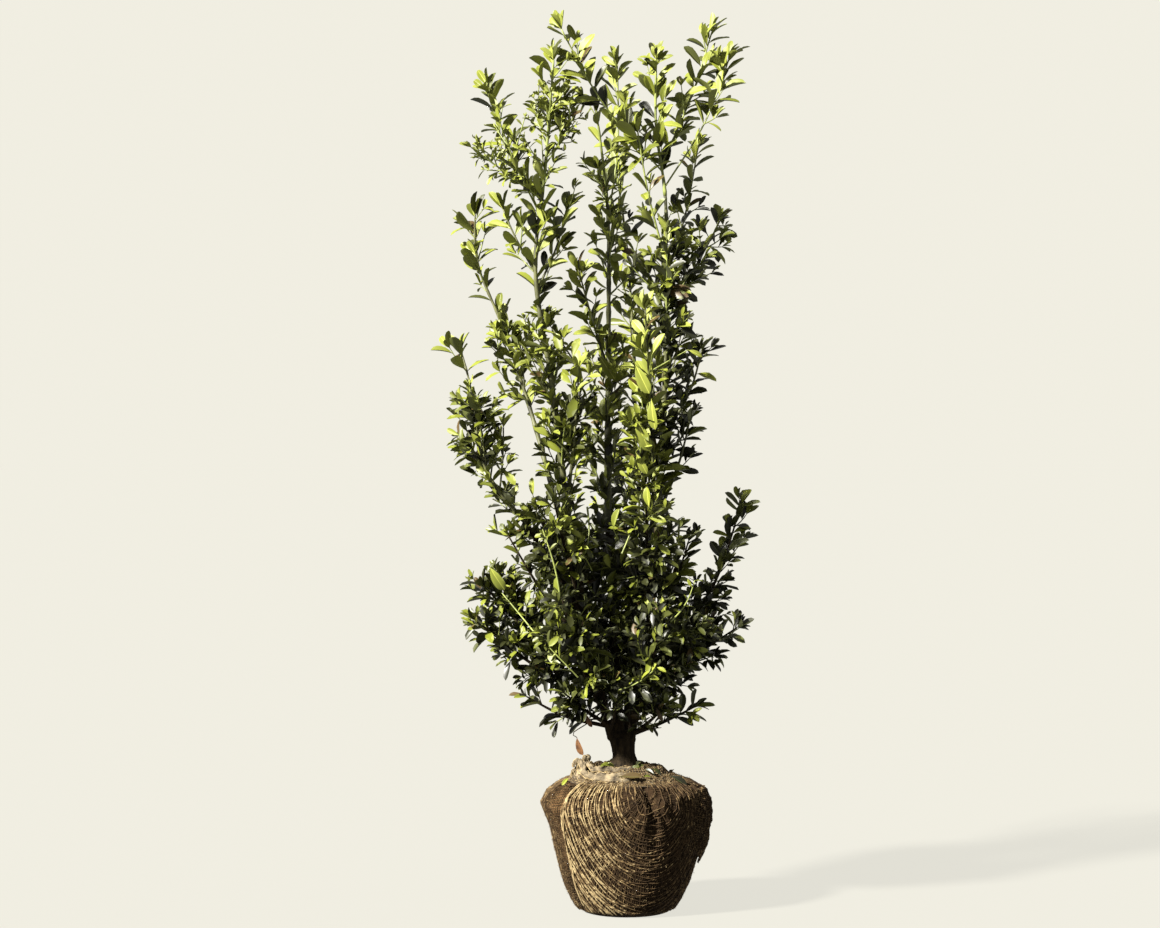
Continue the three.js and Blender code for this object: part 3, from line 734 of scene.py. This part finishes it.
# at the foot and at the tip, mm
STEM_RADII = {"centre": (8, 1.4), "left": (7.5, 1.3), "left_back": (4.8, 1.3), "right": (7, 1.4),
              "back": (5.5, 1.2), "far_left": (4.2, 1.2)}
BARK_TOP, GREEN_TOP = 560, 1040  # mm, where bark gives way to green bark, and that to young wood
FORKS_TOP = 345  # the wood up to here is part of the trunk's piece


def stem_radius(name, share):
    thick, thin = STEM_RADII[name]
    return (thin + (thick - thin) * (1 - share)) * MM


def wood_tint(height):
    """Bark low down, greener higher up, by height in mm."""
    return 0 if height < BARK_TOP else 1 if height < GREEN_TOP else 2


stems = Heap()
for name in STEMS:
    curve = curves[name]
    start = curve.share_at(FORKS_TOP - 8) if name in ("centre", "left", "right", "back") else 0.0
    cuts = [start, *(curve.share_at(h) for h in (BARK_TOP, GREEN_TOP) if start < curve.share_at(h) < 1),
            1 - TIP_TUFT / curve.length]
    for a, b in zip(cuts, cuts[1:]):
        shares = np.linspace(a, b, max(8, int((b - a) * curve.length / 0.006)))
        path = curve.at(shares)
        knots = 1 + 0.1 * np.sin(shares * curve.length / 0.007) + 0.06 * RNG.normal(size=len(shares))
        tube(stems, path, stem_radius(name, shares) * knots, 9, wood_tint((path[0][2] + path[-1][2]) / 2 / MM))
for name, (stem, height, tip, *_) in [*SHOOTS.items(), *BETWEEN.items()]:
    curve = curves[name]
    thick = 0.55 * stem_radius(stem, curves[stem].share_at(height))
    shares = np.linspace(0, 1 - TIP_TUFT / curve.length, int(curve.length / 0.008))
    radii = np.clip(np.linspace(thick, 0.0011, len(shares)), 0.0011, 0.003)
    tube(stems, curve.at(shares), radii, 7, wood_tint((height + tip[2]) / 2))
SEPARATE_BOUGHS = ["low_right_bough", "far_left_bough", "far_left_wand", "left_back_bough", "centre_top_bough",
                   "right_top_bough", "far_right_bough"]
stems.build("stems", WOODS, "bark", *SEPARATE_BOUGHS)

twig_heap = Heap()
for path, radii, habit in twigs:
    fresh = habit in ("shoot", "fine") or RNG.random() < 0.25
    tube(twig_heap, path, radii, 4, 2 if fresh else wood_tint(path[0][2] / MM + 200), False)
twig_heap.build("twigs", WOODS, "bark")

# ---- trunk

TRUNK_SIDES = 40


def trunk_piece():
    """The trunk and the first stretch of each stem, melted together at the fork, with the bark's relief."""
    heap = Heap()
    low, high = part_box("trunk")
    foot, fork = low[2], high[2]
    heights = np.linspace(foot + 0.0004, fork + 0.004, 24)
    share = (heights - foot) / (fork - foot)
    wide = np.interp(share, [0, 0.14, 0.36, 0.6, 0.84, 1.08], [24.5, 19.5, 16.3, 15.6, 15.5, 6]) * MM
    around = np.linspace(0, 2 * pi, TRUNK_SIDES, endpoint=False)
    verts = []
    for z, s, r in zip([heights[0], *heights, heights[-1]], [0, *share, 1], [0.0002, *wide, 0.0002]):
        flute = 1 + 0.07 * np.cos(3 * around) + 0.03 * np.sin(7 * around + 2)
        lean = (-2 - 6 * s) * MM
        verts.append(np.stack([r * flute * np.cos(around) * (1 + 0.5 * min(s, 1) ** 3) + lean,
                               r * flute * np.sin(around), np.full(TRUNK_SIDES, z)], axis=1))
    heap.add(np.concatenate(verts), ring_quads(len(verts), TRUNK_SIDES), 0)
    for name in ("centre", "left", "right", "back"):
        shares = np.linspace(0, curves[name].share_at(FORKS_TOP), 20)
        path = curves[name].at(shares)
        tube(heap, path, stem_radius(name, shares), 16, 0)
    thing = heap.build("trunk_wood", [BARK], "bark", "trunk", "left_bough", "centre_bough", "right_bough",
                       "back_bough")
    remesh = thing.modifiers.new("melt", "REMESH")
    remesh.mode = "VOXEL"
    remesh.voxel_size = 0.0011
    relax = thing.modifiers.new("relax", "SMOOTH")
    relax.iterations = 5
    relax.factor = 0.6
    settle(thing)
    mesh = thing.data
    count = len(mesh.vertices)
    co, normal = np.empty(count * 3), np.empty(count * 3)
    mesh.vertices.foreach_get("co", co)
    mesh.vertices.foreach_get("normal", normal)
    co, normal = co.reshape(-1, 3), normal.reshape(-1, 3)
    relief = np.array([noise.fractal(Vector((x * 260, y * 260, z * 60)), 0.8, 2.0, 4) for x, y, z in co])
    pits = np.array([noise.noise(Vector((x * 700, y * 700, z * 260 + 5))) for x, y, z in co])
    co += normal * (0.9 * np.abs(relief) - 0.5 + 0.25 * pits)[:, None] * MM
    co[:, 2] = np.maximum(co[:, 2], foot)
    mesh.vertices.foreach_set("co", co.ravel())
    mesh.update()
    mesh.shade_smooth()


trunk_piece()

# ---- root ball in hessian


def cloth(name, color, dark, light, scale, gloss=0.5, middle=(0.3, 0.72), bump=0.8, distance=0.002, roughness=0.95):
    return mottle(material(name, color, roughness, gloss), dark, light, scale, 10, bump=bump, middle=middle,
                  distance=distance)


SOIL = cloth("soil_cloth", (0.017, 0.0105, 0.0054), (0.004, 0.002, 0.0009), (0.033, 0.0185, 0.0082), 45, 0.1)
RUST = cloth("rust_cloth", (0.09, 0.0495, 0.02), (0.024, 0.0125, 0.0055), (0.13, 0.074, 0.03), 60, 0.1)
TAN = cloth("tan_cloth", (0.072, 0.051, 0.028), (0.02, 0.0125, 0.0062), (0.115, 0.085, 0.048), 60,
            middle=(0.3, 0.7))
PALE = cloth("pale_cloth", (0.15, 0.116, 0.066), (0.034, 0.023, 0.0115), (0.215, 0.168, 0.098), 90,
             middle=(0.38, 0.66), bump=0.6, distance=0.001, roughness=0.9)
JUTES = [mottle(material(name, color, 0.9, gloss), dark, light, 150)
         for name, color, gloss, dark, light in (
    ("jute_dark", (0.037, 0.0238, 0.0115), 0.15, (0.013, 0.0073, 0.0032), (0.068, 0.042, 0.0188)),
    ("jute_mid", (0.105, 0.072, 0.034), 0.2, (0.052, 0.032, 0.0138), (0.158, 0.106, 0.046)),
    ("jute_light", (0.23, 0.177, 0.094), 0.2, (0.145, 0.1, 0.046), (0.34, 0.262, 0.135)))]

BALL_MIDDLE = Vector((0, 0, 0.108))
BALL_R = 105 * MM
PINCH = [radians(-74), radians(108)]  # where the cloth is drawn up in front and behind
PINCH_TOP = 188 * MM


def ray_at(around, above):
    """The way out from the ball's middle at these angles."""
    return Vector((cos(around) * cos(above), sin(around) * cos(above), sin(above)))


def ball_table():
    """The wrapped ball's radius from its middle, by angle round it and angle above its middle."""
    around = np.linspace(-pi, pi, 121)
    above = np.linspace(-pi / 2, pi / 2, 91)
    table = np.empty((len(around), len(above)))
    for i, a in enumerate(around):
        for j, b in enumerate(above):
            table[i, j] = BVH["root_ball"].ray_cast(BALL_MIDDLE, ray_at(a, b))[3]
    soft = table.copy()
    soft[:-1] = (np.roll(table[:-1], 1, 0) + 2 * table[:-1] + np.roll(table[:-1], -1, 0)) / 4
    soft[-1] = soft[0]
    for i, a in enumerate(around):  # the crumpled right shoulder
        for j, b in enumerate(above):
            part = smooth(-1.45, -1.1, a) * smooth(1.3, 0.6, a) * smooth(-0.4, 0.1, b) * smooth(0.75, 0.6, b)
            if part:
                soft[i, j] += part * 4.2 * MM * noise.fractal(ray_at(a, b) * 7.5, 0.7, 2.0, 3)
    return around, above, soft


AROUND, ABOVE, TABLE = ball_table()


def ball_point(around, above, out=0.0):
    """Points on the wrapped ball with its creases, moved out by so much."""
    around = (np.asarray(around) + pi) % (2 * pi) - pi
    above = np.asarray(above)
    i = np.clip((around + pi) / (2 * pi) * (len(AROUND) - 1), 0, len(AROUND) - 1.001)
    j = np.clip((above + pi / 2) / pi * (len(ABOVE) - 1), 0, len(ABOVE) - 1.001)
    a, b = i.astype(int), j.astype(int)
    u, v = i - a, j - b
    radius = (TABLE[a, b] * (1 - u) * (1 - v) + TABLE[a + 1, b] * u * (1 - v)
              + TABLE[a, b + 1] * (1 - u) * v + TABLE[a + 1, b + 1] * u * v)
    height = BALL_MIDDLE[2] + radius * np.sin(above)
    for centre, depth in zip(PINCH, (7.5, 5)):
        off = (around - centre + pi) % (2 * pi) - pi
        wander = off - 0.12 * (PINCH_TOP - height) / 0.1
        fall = smooth(95 * MM, 165 * MM, height) * smooth(200 * MM, 180 * MM, height)
        radius = radius - depth * MM * hump(wander, 0.05) * fall
        radius = radius + 2.2 * MM * hump(np.abs(off) - 0.2, 0.11) * fall
        away = np.hypot(off * BALL_R, height - PINCH_TOP)
        turn = np.arctan2(off * BALL_R, PINCH_TOP - height)
        pleats = np.sin(13 * turn + 2.2 * np.sin(3 * turn + centre)) + 0.5 * np.sin(29 * turn)
        close = smooth(6 * MM, 22 * MM, away) * smooth(80 * MM, 34 * MM, away) * smooth(0.5, 0.3, above)
        radius = radius + 1.9 * MM * pleats * close
    radius = radius + out
    flat = np.cos(above) * radius
    return np.stack([flat * np.cos(around), flat * np.sin(around),
                     np.maximum(BALL_MIDDLE[2] + radius * np.sin(above), 0.0003)], axis=-1)


def above_for(around, height):
    """The angle above the ball's middle at which its side passes a height."""
    low, high = np.full(np.shape(height), -1.03), np.full(np.shape(height), 1.1)
    for _ in range(18):
        middle = (low + high) / 2
        under = ball_point(around, middle)[..., 2] < height
        low, high = np.where(under, middle, low), np.where(under, high, middle)
    return (low + high) / 2


def ball_piece():
    heap = Heap()
    around = np.linspace(-pi, pi, 288, endpoint=False)
    above = np.linspace(-pi / 2, pi / 2, 150)
    a, b = np.meshgrid(around, above, indexing="ij")
    rough = [noise.fractal(8 * ray_at(p, q), 0.9, 2.1, 4) for p, q in zip(a.ravel(), b.ravel())]
    rough = np.array(rough).reshape(a.shape)
    verts = ball_point(a, b, 1.3 * MM * rough - 0.6 * MM)
    verts[..., 2] = np.where(b < -1.03, 0.0, verts[..., 2])
    quads = grid_quads(*a.shape, True)
    centre = verts.reshape(-1, 3)[quads[:, 0]]
    stain = (centre[:, 0] < -84 * MM) & (centre[:, 2] > 40 * MM) & (centre[:, 1] < 30 * MM)
    heap.add(verts, quads, np.where(stain, 1, 0))
    heap.build("wrapped_ball", [SOIL, RUST], "root_ball", "root_ball")


ball_piece()


def thread_runs(h, z, centre):
    """Breaks a line on the cloth, given by arc length and height, into the runs that lie on the ball's side."""
    line = np.stack([centre + h / BALL_R, z], axis=1)
    on = (z > 4 * MM) & (z < 196 * MM) & (np.abs(h) < 1.6 * BALL_R)
    cuts = np.flatnonzero(np.diff(on)) + 1
    return [run for run, lies in zip(np.split(line, cuts), np.split(on, cuts)) if len(run) > 4 and lies[0]]


def thread(heap, run, out, thick, sides, brightness):
    """One thread laid on the ball along a run of angles and heights, knobbly, and lighter or darker as it goes."""
    path = ball_point(run[:, 0], above_for(run[:, 0], run[:, 1]), out)
    count = len(path)
    knobs = RNG.uniform(0.7, 1.3, count)
    path = path + RNG.normal(0, 0.16 * MM, (count, 3))
    dirt = np.array([noise.noise(Vector(point * 50)) + 0.8 * noise.noise(Vector(point * 150)) for point in path])
    lit = brightness + clean_and_lit_part(run[:, 0]) - 0.5 * smooth(-0.1, 0.6, dirt) + RNG.normal(0, 0.17, count)
    tube(heap, path, thick * knobs * (0.75 + 0.35 * np.clip(lit, 0, 1)), sides, np.digitize(lit, [0.4, 0.8]))


def clean_and_lit_part(around):
    """How much lighter the threads are by angle round the ball: lightest on the front left and darker on the right.
    This is partly mud, and partly painted light on the lit front left and painted shade on the shaded right.
    """
    return 0.72 * smooth(-1.25, -1.95, around) - 0.05 + 0.1 * smooth(-0.3, 0.6, around)


FLANK = radians(-141)  # the cloth's fold down the left side: round it the weave is plain
THREAD_GAP = 4.5 * MM
THREADS_END = 330 * MM  # how far from a pinch its threads run
THREADS_TURN = 2.2  # how far round the pinch they run, to either side of straight down
SQUEEZE = 0.72  # the rings of threads round a pinch are this much as wide as they are high
CRUMPLED = 58 * MM  # how far from the pinch the rings are broken up
SPOKES = 150


def round_pinch(reach, angles):
    """The arc length and the height of points so far from a pinch, and at such angles from straight down."""
    return SQUEEZE * reach * np.sin(angles), PINCH_TOP - reach * np.cos(angles)


threads = Heap()
for centre in PINCH:
    h_flank = (FLANK - centre) * BALL_R if centre < 0 else -9
    reach = 9 * MM
    while reach < THREADS_END:
        angles = np.arange(-THREADS_TURN, THREADS_TURN, 3.6 * MM / reach)
        near = 1 + 3 * exp(-reach / 0.05)
        wobble = 1 + near * (0.02 * np.sin(2.3 * angles + reach * 90) + 0.011 * np.sin(9 * angles + reach * 400))
        h, z = round_pinch(reach * wobble, angles)
        keep = h > h_flank
        # the rings close round the pinch are darker: painted shade in the crease
        brightness = RNG.uniform(0.12, 0.5) - 0.15 * exp(-((reach / 0.045) ** 2))
        thick = RNG.uniform(0.75, 1.25) * MM
        if reach < CRUMPLED:
            wobble = wobble + 0.12 * np.sin(5 * angles + reach * 700) * (1 - reach / CRUMPLED)
            h, z = round_pinch(reach * wobble, angles)
            scraps = np.sin(3.1 * angles + reach * 900)
            keep = keep & (scraps > np.where(h > 2 * MM, 0.0, -0.3))
        for run in thread_runs(h[keep], z[keep], centre):
            thread(threads, run, 0.55 * MM, thick, 4, brightness)
        reach += THREAD_GAP * RNG.uniform(0.85, 1.2)
    for k in range(SPOKES):
        angle = -THREADS_TURN + 2 * THREADS_TURN * (k + RNG.uniform(-0.2, 0.2)) / SPOKES
        begin = (100, 12, 100, 40)[k % 4] * MM
        reach = np.arange(begin, THREADS_END, 4.5 * MM)
        h, z = round_pinch(reach, angle)
        h = h + 0.8 * MM * np.sin(reach / 0.01 + k)
        keep = h > h_flank
        for run in thread_runs(h[keep], z[keep], centre):
            thread(threads, run, 0.3 * MM, RNG.uniform(0.4, 0.65) * MM, 3, RNG.uniform(-0.35, 0.1))
for row in np.arange(8, 190, 3.4):
    angles = np.arange(FLANK - 0.62, FLANK + 0.02, 0.03)
    run = np.stack([angles, (row + 3 * np.sin(angles * 6 + row * 0.05) + 10 * (angles - FLANK)) * MM], axis=1)
    thread(threads, run, 0.3 * MM, RNG.uniform(0.5, 0.8) * MM, 3, RNG.uniform(-0.7, -0.2))
for around in np.arange(FLANK - 0.6, FLANK, 0.034):
    heights = np.arange(8, 190, 4) * MM
    run = np.stack([around + 0.01 * np.sin(heights / 0.02), heights], axis=1)
    thread(threads, run, 0.4 * MM, RNG.uniform(0.5, 0.8) * MM, 3, RNG.uniform(-0.7, -0.2))
for k in range(3):  # the folded edge itself
    heights = np.arange(14, 182, 3.5) * MM
    run = np.stack([FLANK + 0.012 * k + 0.012 * np.sin(heights / 0.013 + k) + 0.05 * smooth(0.11, 0.18, heights),
                    heights], axis=1)
    thread(threads, run, (0.9 + 0.4 * k) * MM, 1.1 * MM, 5, 0.5)
threads.build("hessian_threads", JUTES, "hessian")

fuzz = Heap()
for _ in range(2600):
    around, above = RNG.uniform(-pi, pi), RNG.uniform(-0.95, 0.95)
    base = ball_point(around, above, 0.2 * MM)
    away = unit(base - np.array(BALL_MIDDLE) + RNG.normal(0, 0.05, 3))
    side = unit(np.cross(away, RNG.normal(size=3)))
    length = RNG.uniform(2.0, 5.5) * MM
    tip = base + away * length * 0.6 + side * length * 0.7
    tube(fuzz, [base, base + away * length * 0.6 + side * length * 0.1, tip], [0.0002, 0.00018, 0.00006], 3,
         int(RNG.integers(0, 3)), False)
fuzz.build("hessian_fibres", JUTES, "hessian")


def gather_piece():
    """The cloth drawn in round the trunk: rolled folds, higher on the left, with the tied corner standing up."""
    heap = Heap()
    rows, cols = 220, 46
    around = np.linspace(0, 2 * pi, rows, endpoint=False)
    out = np.linspace(17, 88, cols)
    a, r = np.meshgrid(around, out, indexing="ij")
    left = np.clip(-np.cos(a), 0, 1)
    ring = 49 + 4 * np.sin(3 * a + 1) + 9 * left
    second = 33 + 4 * np.sin(2 * a) + 3 * np.sin(5 * a + 1)
    wrinkle = np.array([noise.fractal(Vector((x, y, 0.3)), 0.8, 2.0, 4)
                        for x, y in zip((r * np.cos(a) / 9).ravel(), (r * np.sin(a) / 9).ravel())]).reshape(a.shape)
    pleat = np.sin(17 * a + 2 * np.sin(3 * a) + r / 12)
    lift = 8.5 * hump(r - ring, 8) * (0.75 + 0.5 * left)
    lift += 6 * hump(r - second, 5) * (0.8 + 0.4 * left)
    lift += 2.2 * wrinkle + 0.9 * pleat * hump(r - 45, 18)
    knot = hump(r * np.cos(a) + 66, 11) * hump(r * np.sin(a) + 22, 11)
    lift += 17 * knot * (1 + 0.25 * np.sin(9 * a + r / 3))
    lift *= smooth(88, 76, r)
    base = np.empty_like(r)
    for i in range(rows):
        for j in range(cols):
            over = Vector((r[i, j] * cos(a[i, j]) * MM, r[i, j] * sin(a[i, j]) * MM, 0.3))
            base[i, j] = BVH["root_ball"].ray_cast(over, Vector((0, 0, -1)))[0][2]
    z = base + (lift + 0.4) * MM
    verts = np.stack([r * np.cos(a) * MM, r * np.sin(a) * MM, z], axis=-1)
    quads = grid_quads(rows, cols, True)[:, [0, 3, 2, 1]]
    # the pale cloth goes on the tops of the high folds towards the front left, where the light falls: a painted
    # highlight on the folds
    front = smooth(0.35, -0.6, np.cos(a)) * smooth(0.5, -0.3, np.sin(a))
    pale = (lift * front + 3.2 * wrinkle).ravel()[quads[:, 0]] > 6
    pit = (r + 3 * wrinkle).ravel()[quads[:, 0]] < 25
    heap.add(verts, quads, np.where(pit, 0, np.where(pale, 1, 2)))
    thing = heap.build("gathered_cloth", [SOIL, PALE, TAN], "hessian", "burlap_gather")
    weave = Heap()
    for j in range(6, cols, 2):
        path = np.vstack([verts[::2, j], verts[:1, j]]) + UP * 0.5 * MM
        path += RNG.normal(0, 0.2 * MM, path.shape)
        tints = RNG.choice([0, 1, 2], len(path), p=[0.3, 0.5, 0.2])
        tube(weave, path, RNG.uniform(0.4, 0.8, len(path)) * MM, 3, tints)
    for i in range(0, rows, 3):
        path = verts[i, 5:] + UP * 0.4 * MM + RNG.normal(0, 0.2 * MM, (cols - 5, 3))
        radii = RNG.uniform(0.4, 0.8, len(path)) * MM
        tube(weave, path, radii, 3, RNG.choice([0, 1, 2], len(path), p=[0.3, 0.5, 0.2]))
    weave.build("gather_threads", JUTES, "hessian")
    thicken(thing, 0.0012)
    return thing


def flap_piece():
    """The loose corner hanging down over the right shoulder."""
    heap = Heap()
    rows, cols = 60, 44
    s, t = np.meshgrid(np.linspace(-1, 1, rows), np.linspace(0, 1, cols), indexing="ij")
    width = 0.62 * np.sqrt(np.clip(1 - (2 * t - 1) ** 4, 0, 1)) + 0.02
    around = -0.12 + s * width
    height = (182 - 104 * t - 6 * np.sin(4 * s + 1) * t) * MM
    crumple = np.array([noise.fractal(Vector((3 * x, 3 * y, 7.1)), 0.8, 2.0, 4)
                        for x, y in zip(s.ravel() * 2, t.ravel() * 3)]).reshape(s.shape)
    near = smooth(-0.95, -0.2, s)
    stand = 6.5 * smooth(0, 0.7, t) * (1 - 0.5 * smooth(0.75, 1, t)) * near * (1 - 0.55 * s**2)
    out = (-1.6 + 3.4 * near + stand + 1.6 * crumple * near) * MM
    verts = ball_point(around, above_for(around, height), out)
    heap.add(verts, grid_quads(rows, cols, False)[:, ::-1], 0)
    thing = heap.build("folded_flap", [SOIL], "hessian", "burlap_flap")
    thicken(thing, 0.0014)
    weave = Heap()
    lift = verts - np.array(BALL_MIDDLE)
    lift /= np.linalg.norm(lift, axis=2)[..., None]
    for k in range(0, rows, 2):
        path = verts[k, 1:-1] + lift[k, 1:-1] * 0.9 * MM
        edge = 2 * k / rows - 1 > 0.9
        tints = RNG.choice([0, 1, 2], len(path), p=[0.2, 0.5, 0.3] if edge else [0.8, 0.17, 0.03])
        tube(weave, path, RNG.uniform(0.7, 1.3, len(path)) * (1.0 if edge else 0.65) * MM, 4, tints)
    for k in range(1, cols):
        path = verts[:, k] + lift[:, k] * MM
        radii = RNG.uniform(0.6, 1.3, len(path)) * 0.55 * MM
        tube(weave, path, radii, 3, RNG.choice([0, 1], len(path), p=[0.7, 0.3]))
    weave.build("flap_threads", JUTES, "hessian")


gathered = gather_piece()
flap_piece()
GATHERED = tree_of(gathered)


def top_of_ball(x, y):
    """The height of the gathered cloth there, mm."""
    hit = GATHERED.ray_cast(Vector((x * MM, y * MM, 0.4)), Vector((0, 0, -1)))
    if hit[0] is None:
        hit = BVH["root_ball"].ray_cast(Vector((x * MM, y * MM, 0.4)), Vector((0, 0, -1)))
    return hit[0][2] / MM


# the folds of the tied corner, as waypoints (x, y, above the cloth) with their thickness
FOLDS = [
    ([(-60, -6, 14), (-66, -24, 15), (-56, -44, 7), (-36, -58, 4), (-10, -62, 3), (10, -56, 2)], 5.0),
    ([(-72, -18, 10), (-64, -36, 8), (-48, -54, 4), (-22, -66, 2), (4, -70, 2)], 4.2),
    ([(-58, -20, 15), (-50, -36, 10), (-34, -47, 6), (-12, -50, 4), (8, -44, 3)], 3.8),
    ([(-70, -26, 12), (-78, -12, 6), (-70, 14, 4), (-50, 36, 3)], 3.8),
    ([(-62, -28, 16), (-70, -16, 17), (-62, -10, 16), (-56, -22, 17), (-64, -30, 14)], 4.6),
    ([(-68, -20, 18), (-72, -24, 24), (-78, -26, 27)], 2.6),
    ([(-62, -22, 19), (-60, -26, 26), (-63, -30, 30)], 2.2),
]
folds = Heap()
for waypoints, thick in FOLDS:
    line = Curve([(x, y, top_of_ball(x, y) + up * 0.6) for x, y, up in waypoints])
    shares = np.linspace(0, 1, max(10, int(line.length / 0.0022)))
    path = line.at(shares) + np.stack([0.8 * MM * np.sin(shares * 31 + k) for k in range(3)], axis=1)
    taper = np.sin(np.pi * np.clip(shares * 0.86 + 0.09, 0, 1)) ** 0.5
    for count, reach, flat, sides, tint in ((3, 0.42, 0.6, 9, 1), (7, 1.0, 0.7, 4, 2)):
        for strand in range(count):
            turn = 2 * pi * (strand / count + shares * line.length / 0.045)
            swing = reach * thick * MM * taper
            off = np.stack([np.cos(turn) * swing, np.sin(turn) * swing * flat, np.sin(turn) * swing], axis=1)
            radii = 0.62 * thick * MM * taper * (1 + 0.16 * np.sin(shares * 47 + strand * 2))
            tube(folds, path + off, radii if tint == 1 else np.full(len(shares), 0.55 * MM), sides, tint)
folds.build("tied_folds", [SOIL, PALE, JUTES[2]], "hessian")

# ---- fallen and dead leaves

DEAD = [
    mottle(material("leaf_dead", (0.14, 0.058, 0.017), 0.6), (0.05, 0.018, 0.006), (0.2, 0.092, 0.028), 120),
    mottle(material("leaf_dead_under", (0.16, 0.085, 0.034), 0.7), (0.08, 0.038, 0.015), (0.2, 0.12, 0.055), 120),
]
# lying on the cloth: (x, y, heading in degrees, length, tint)
FALLEN = [
    (-12, -70, 4, 34, 2), (24, -64, 40, 18, 5), (-38, -34, 20, 24, 4), (-22, -30, 160, 20, 3),
    (26, -34, 200, 22, 2), (14, -44, 75, 18, 2), (62, -42, -10, 30, 0), (-84, -30, 235, 17, 5),
    (48, 30, 60, 28, 3), (-10, 52, 140, 30, 2), (70, 12, 100, 22, 3), (40, -50, 150, 17, 1),
    (36, -40, 10, 20, 2),
]
litter = Foliage()
for x, y, heading, length, tint in FALLEN:
    angle = radians(heading)
    ahead = np.array([cos(angle), sin(angle), 0])
    spots = ((x, y), (x + ahead[0] * length, y + ahead[1] * length))
    ends = [np.array([*spot, top_of_ball(*spot)]) for spot in spots]
    direction = unit(ends[1] - ends[0])
    litter.leaf((ends[0] + UP * 6) * MM, direction, UP - 0.75 * np.array([0, 1, 0]), length * MM, tint, True)
litter.heap.build("fallen_leaves", LEAF_MATERIALS, "old_leaf")

dead = Heap()
dead_twigs = Heap()
TOWARDS_FRONT = np.array([-0.5, -1, 0.2])


def bare_twig(waypoints, tip):
    """A bare twig that thins out to tip, mm. Gives its end."""
    line = Curve(waypoints)
    tube(dead_twigs, line.at(np.linspace(0, 1, 14)), np.linspace(1.3, tip, 14) * MM, 5, 0)
    return line.at(1.0)


# hanging by a bare twig: (waypoints of the twig, way the leaf hangs, its length)
for waypoints, hang, length in (
    ([(-34, -16, 292), (-56, -48, 278), (-78, -66, 264), (-72, -70, 260)], (0.25, -0.2, -0.9), 27),
    ([(-30, -14, 300), (-44, -46, 294), (-58, -62, 292)], (0.3, -0.3, -0.8), 20),
):
    verts, quads, kinds = LEAVES[True][4]
    end = bare_twig(waypoints, 0.6)
    dead.add(placed(verts, end, np.array(hang), TOWARDS_FRONT, length * MM), quads, np.where(kinds == 1, 1, 0))
for waypoints in ([(-26, -12, 280), (-60, -50, 284), (-92, -62, 290)],
                  [(10, -12, 262), (28, -44, 268), (50, -54, 272)],
                  [(8, -10, 270), (20, -46, 284), (44, -66, 300)]):
    bare_twig(waypoints, 0.5)
dead.build("dead_leaves", DEAD, "old_leaf")
dead_twigs.build("bare_twigs", [BARK], "bark")

# ---- floor, light and camera

FLOOR_COLOR = (0.04, 0.039, 0.035)
BACKDROP = (0.877, 0.855, 0.759)
SUN_POWER = 16.5
SUN_TINT = (1.0, 0.97, 0.9)
SKY_POWER = 0.42
SKY_TINT = (1.0, 0.99, 0.95)
# the floor glows by what the light on it leaves wanting of the backdrop, so that no horizon shows
FLOOR_GLOW = [back - own * (SUN_POWER / pi * SUN_FROM[2] * sun_part + SKY_POWER * sky_part)
              for back, own, sun_part, sky_part in zip(BACKDROP, FLOOR_COLOR, SUN_TINT, SKY_TINT)]

floor_mesh = bpy.data.meshes.new("floor")
floor_mesh.from_pydata([(-400, -400, 0), (400, -400, 0), (400, 400, 0), (-400, 400, 0)], [], [(0, 1, 2, 3)])
floor = bpy.data.objects.new("floor", floor_mesh)
pale = material("floor", FLOOR_COLOR, 1.0, 0.0, Emission_Strength=1.0)
pale.node_tree.nodes["Principled BSDF"].inputs["Emission Color"].default_value = (*FLOOR_GLOW, 1)
floor_mesh.materials.append(pale)
show(floor)
floor.visible_diffuse = False
floor.visible_glossy = False

sun = bpy.data.lights.new("sun", "SUN")
sun.energy = SUN_POWER
sun.angle = radians(6)
sun.color = SUN_TINT
sun_object = bpy.data.objects.new("sun", sun)
sun_object.rotation_euler = Vector(-SUN_FROM).to_track_quat("-Z", "Y").to_euler()
show(sun_object)

world = bpy.data.worlds.new("studio")
world.use_nodes = True
bpy.context.scene.world = world
tree = world.node_tree
sky = tree.nodes["Background"]
sky.inputs["Color"].default_value = (*SKY_TINT, 1)
sky.inputs["Strength"].default_value = SKY_POWER
backdrop = tree.nodes.new("ShaderNodeBackground")
backdrop.inputs["Color"].default_value = (*BACKDROP, 1)
seen = tree.nodes.new("ShaderNodeLightPath")
mix = tree.nodes.new("ShaderNodeMixShader")
join(tree, seen, "Is Camera Ray", mix, "Fac")
join(tree, sky, "Background", mix, 1)
join(tree, backdrop, "Background", mix, 2)
join(tree, mix, "Shader", tree.nodes["World Output"], "Surface")
bpy.context.scene.view_settings.view_transform = "Standard"

camera_data = bpy.data.cameras.new("camera")
camera_data.lens = 74.2
camera_data.sensor_width = 36
camera = bpy.data.objects.new("camera", camera_data)
camera.location = (-0.0673, -3.5, 0.652)
camera.rotation_euler = (pi / 2, 0, 0)
show(camera)
bpy.context.scene.camera = camera
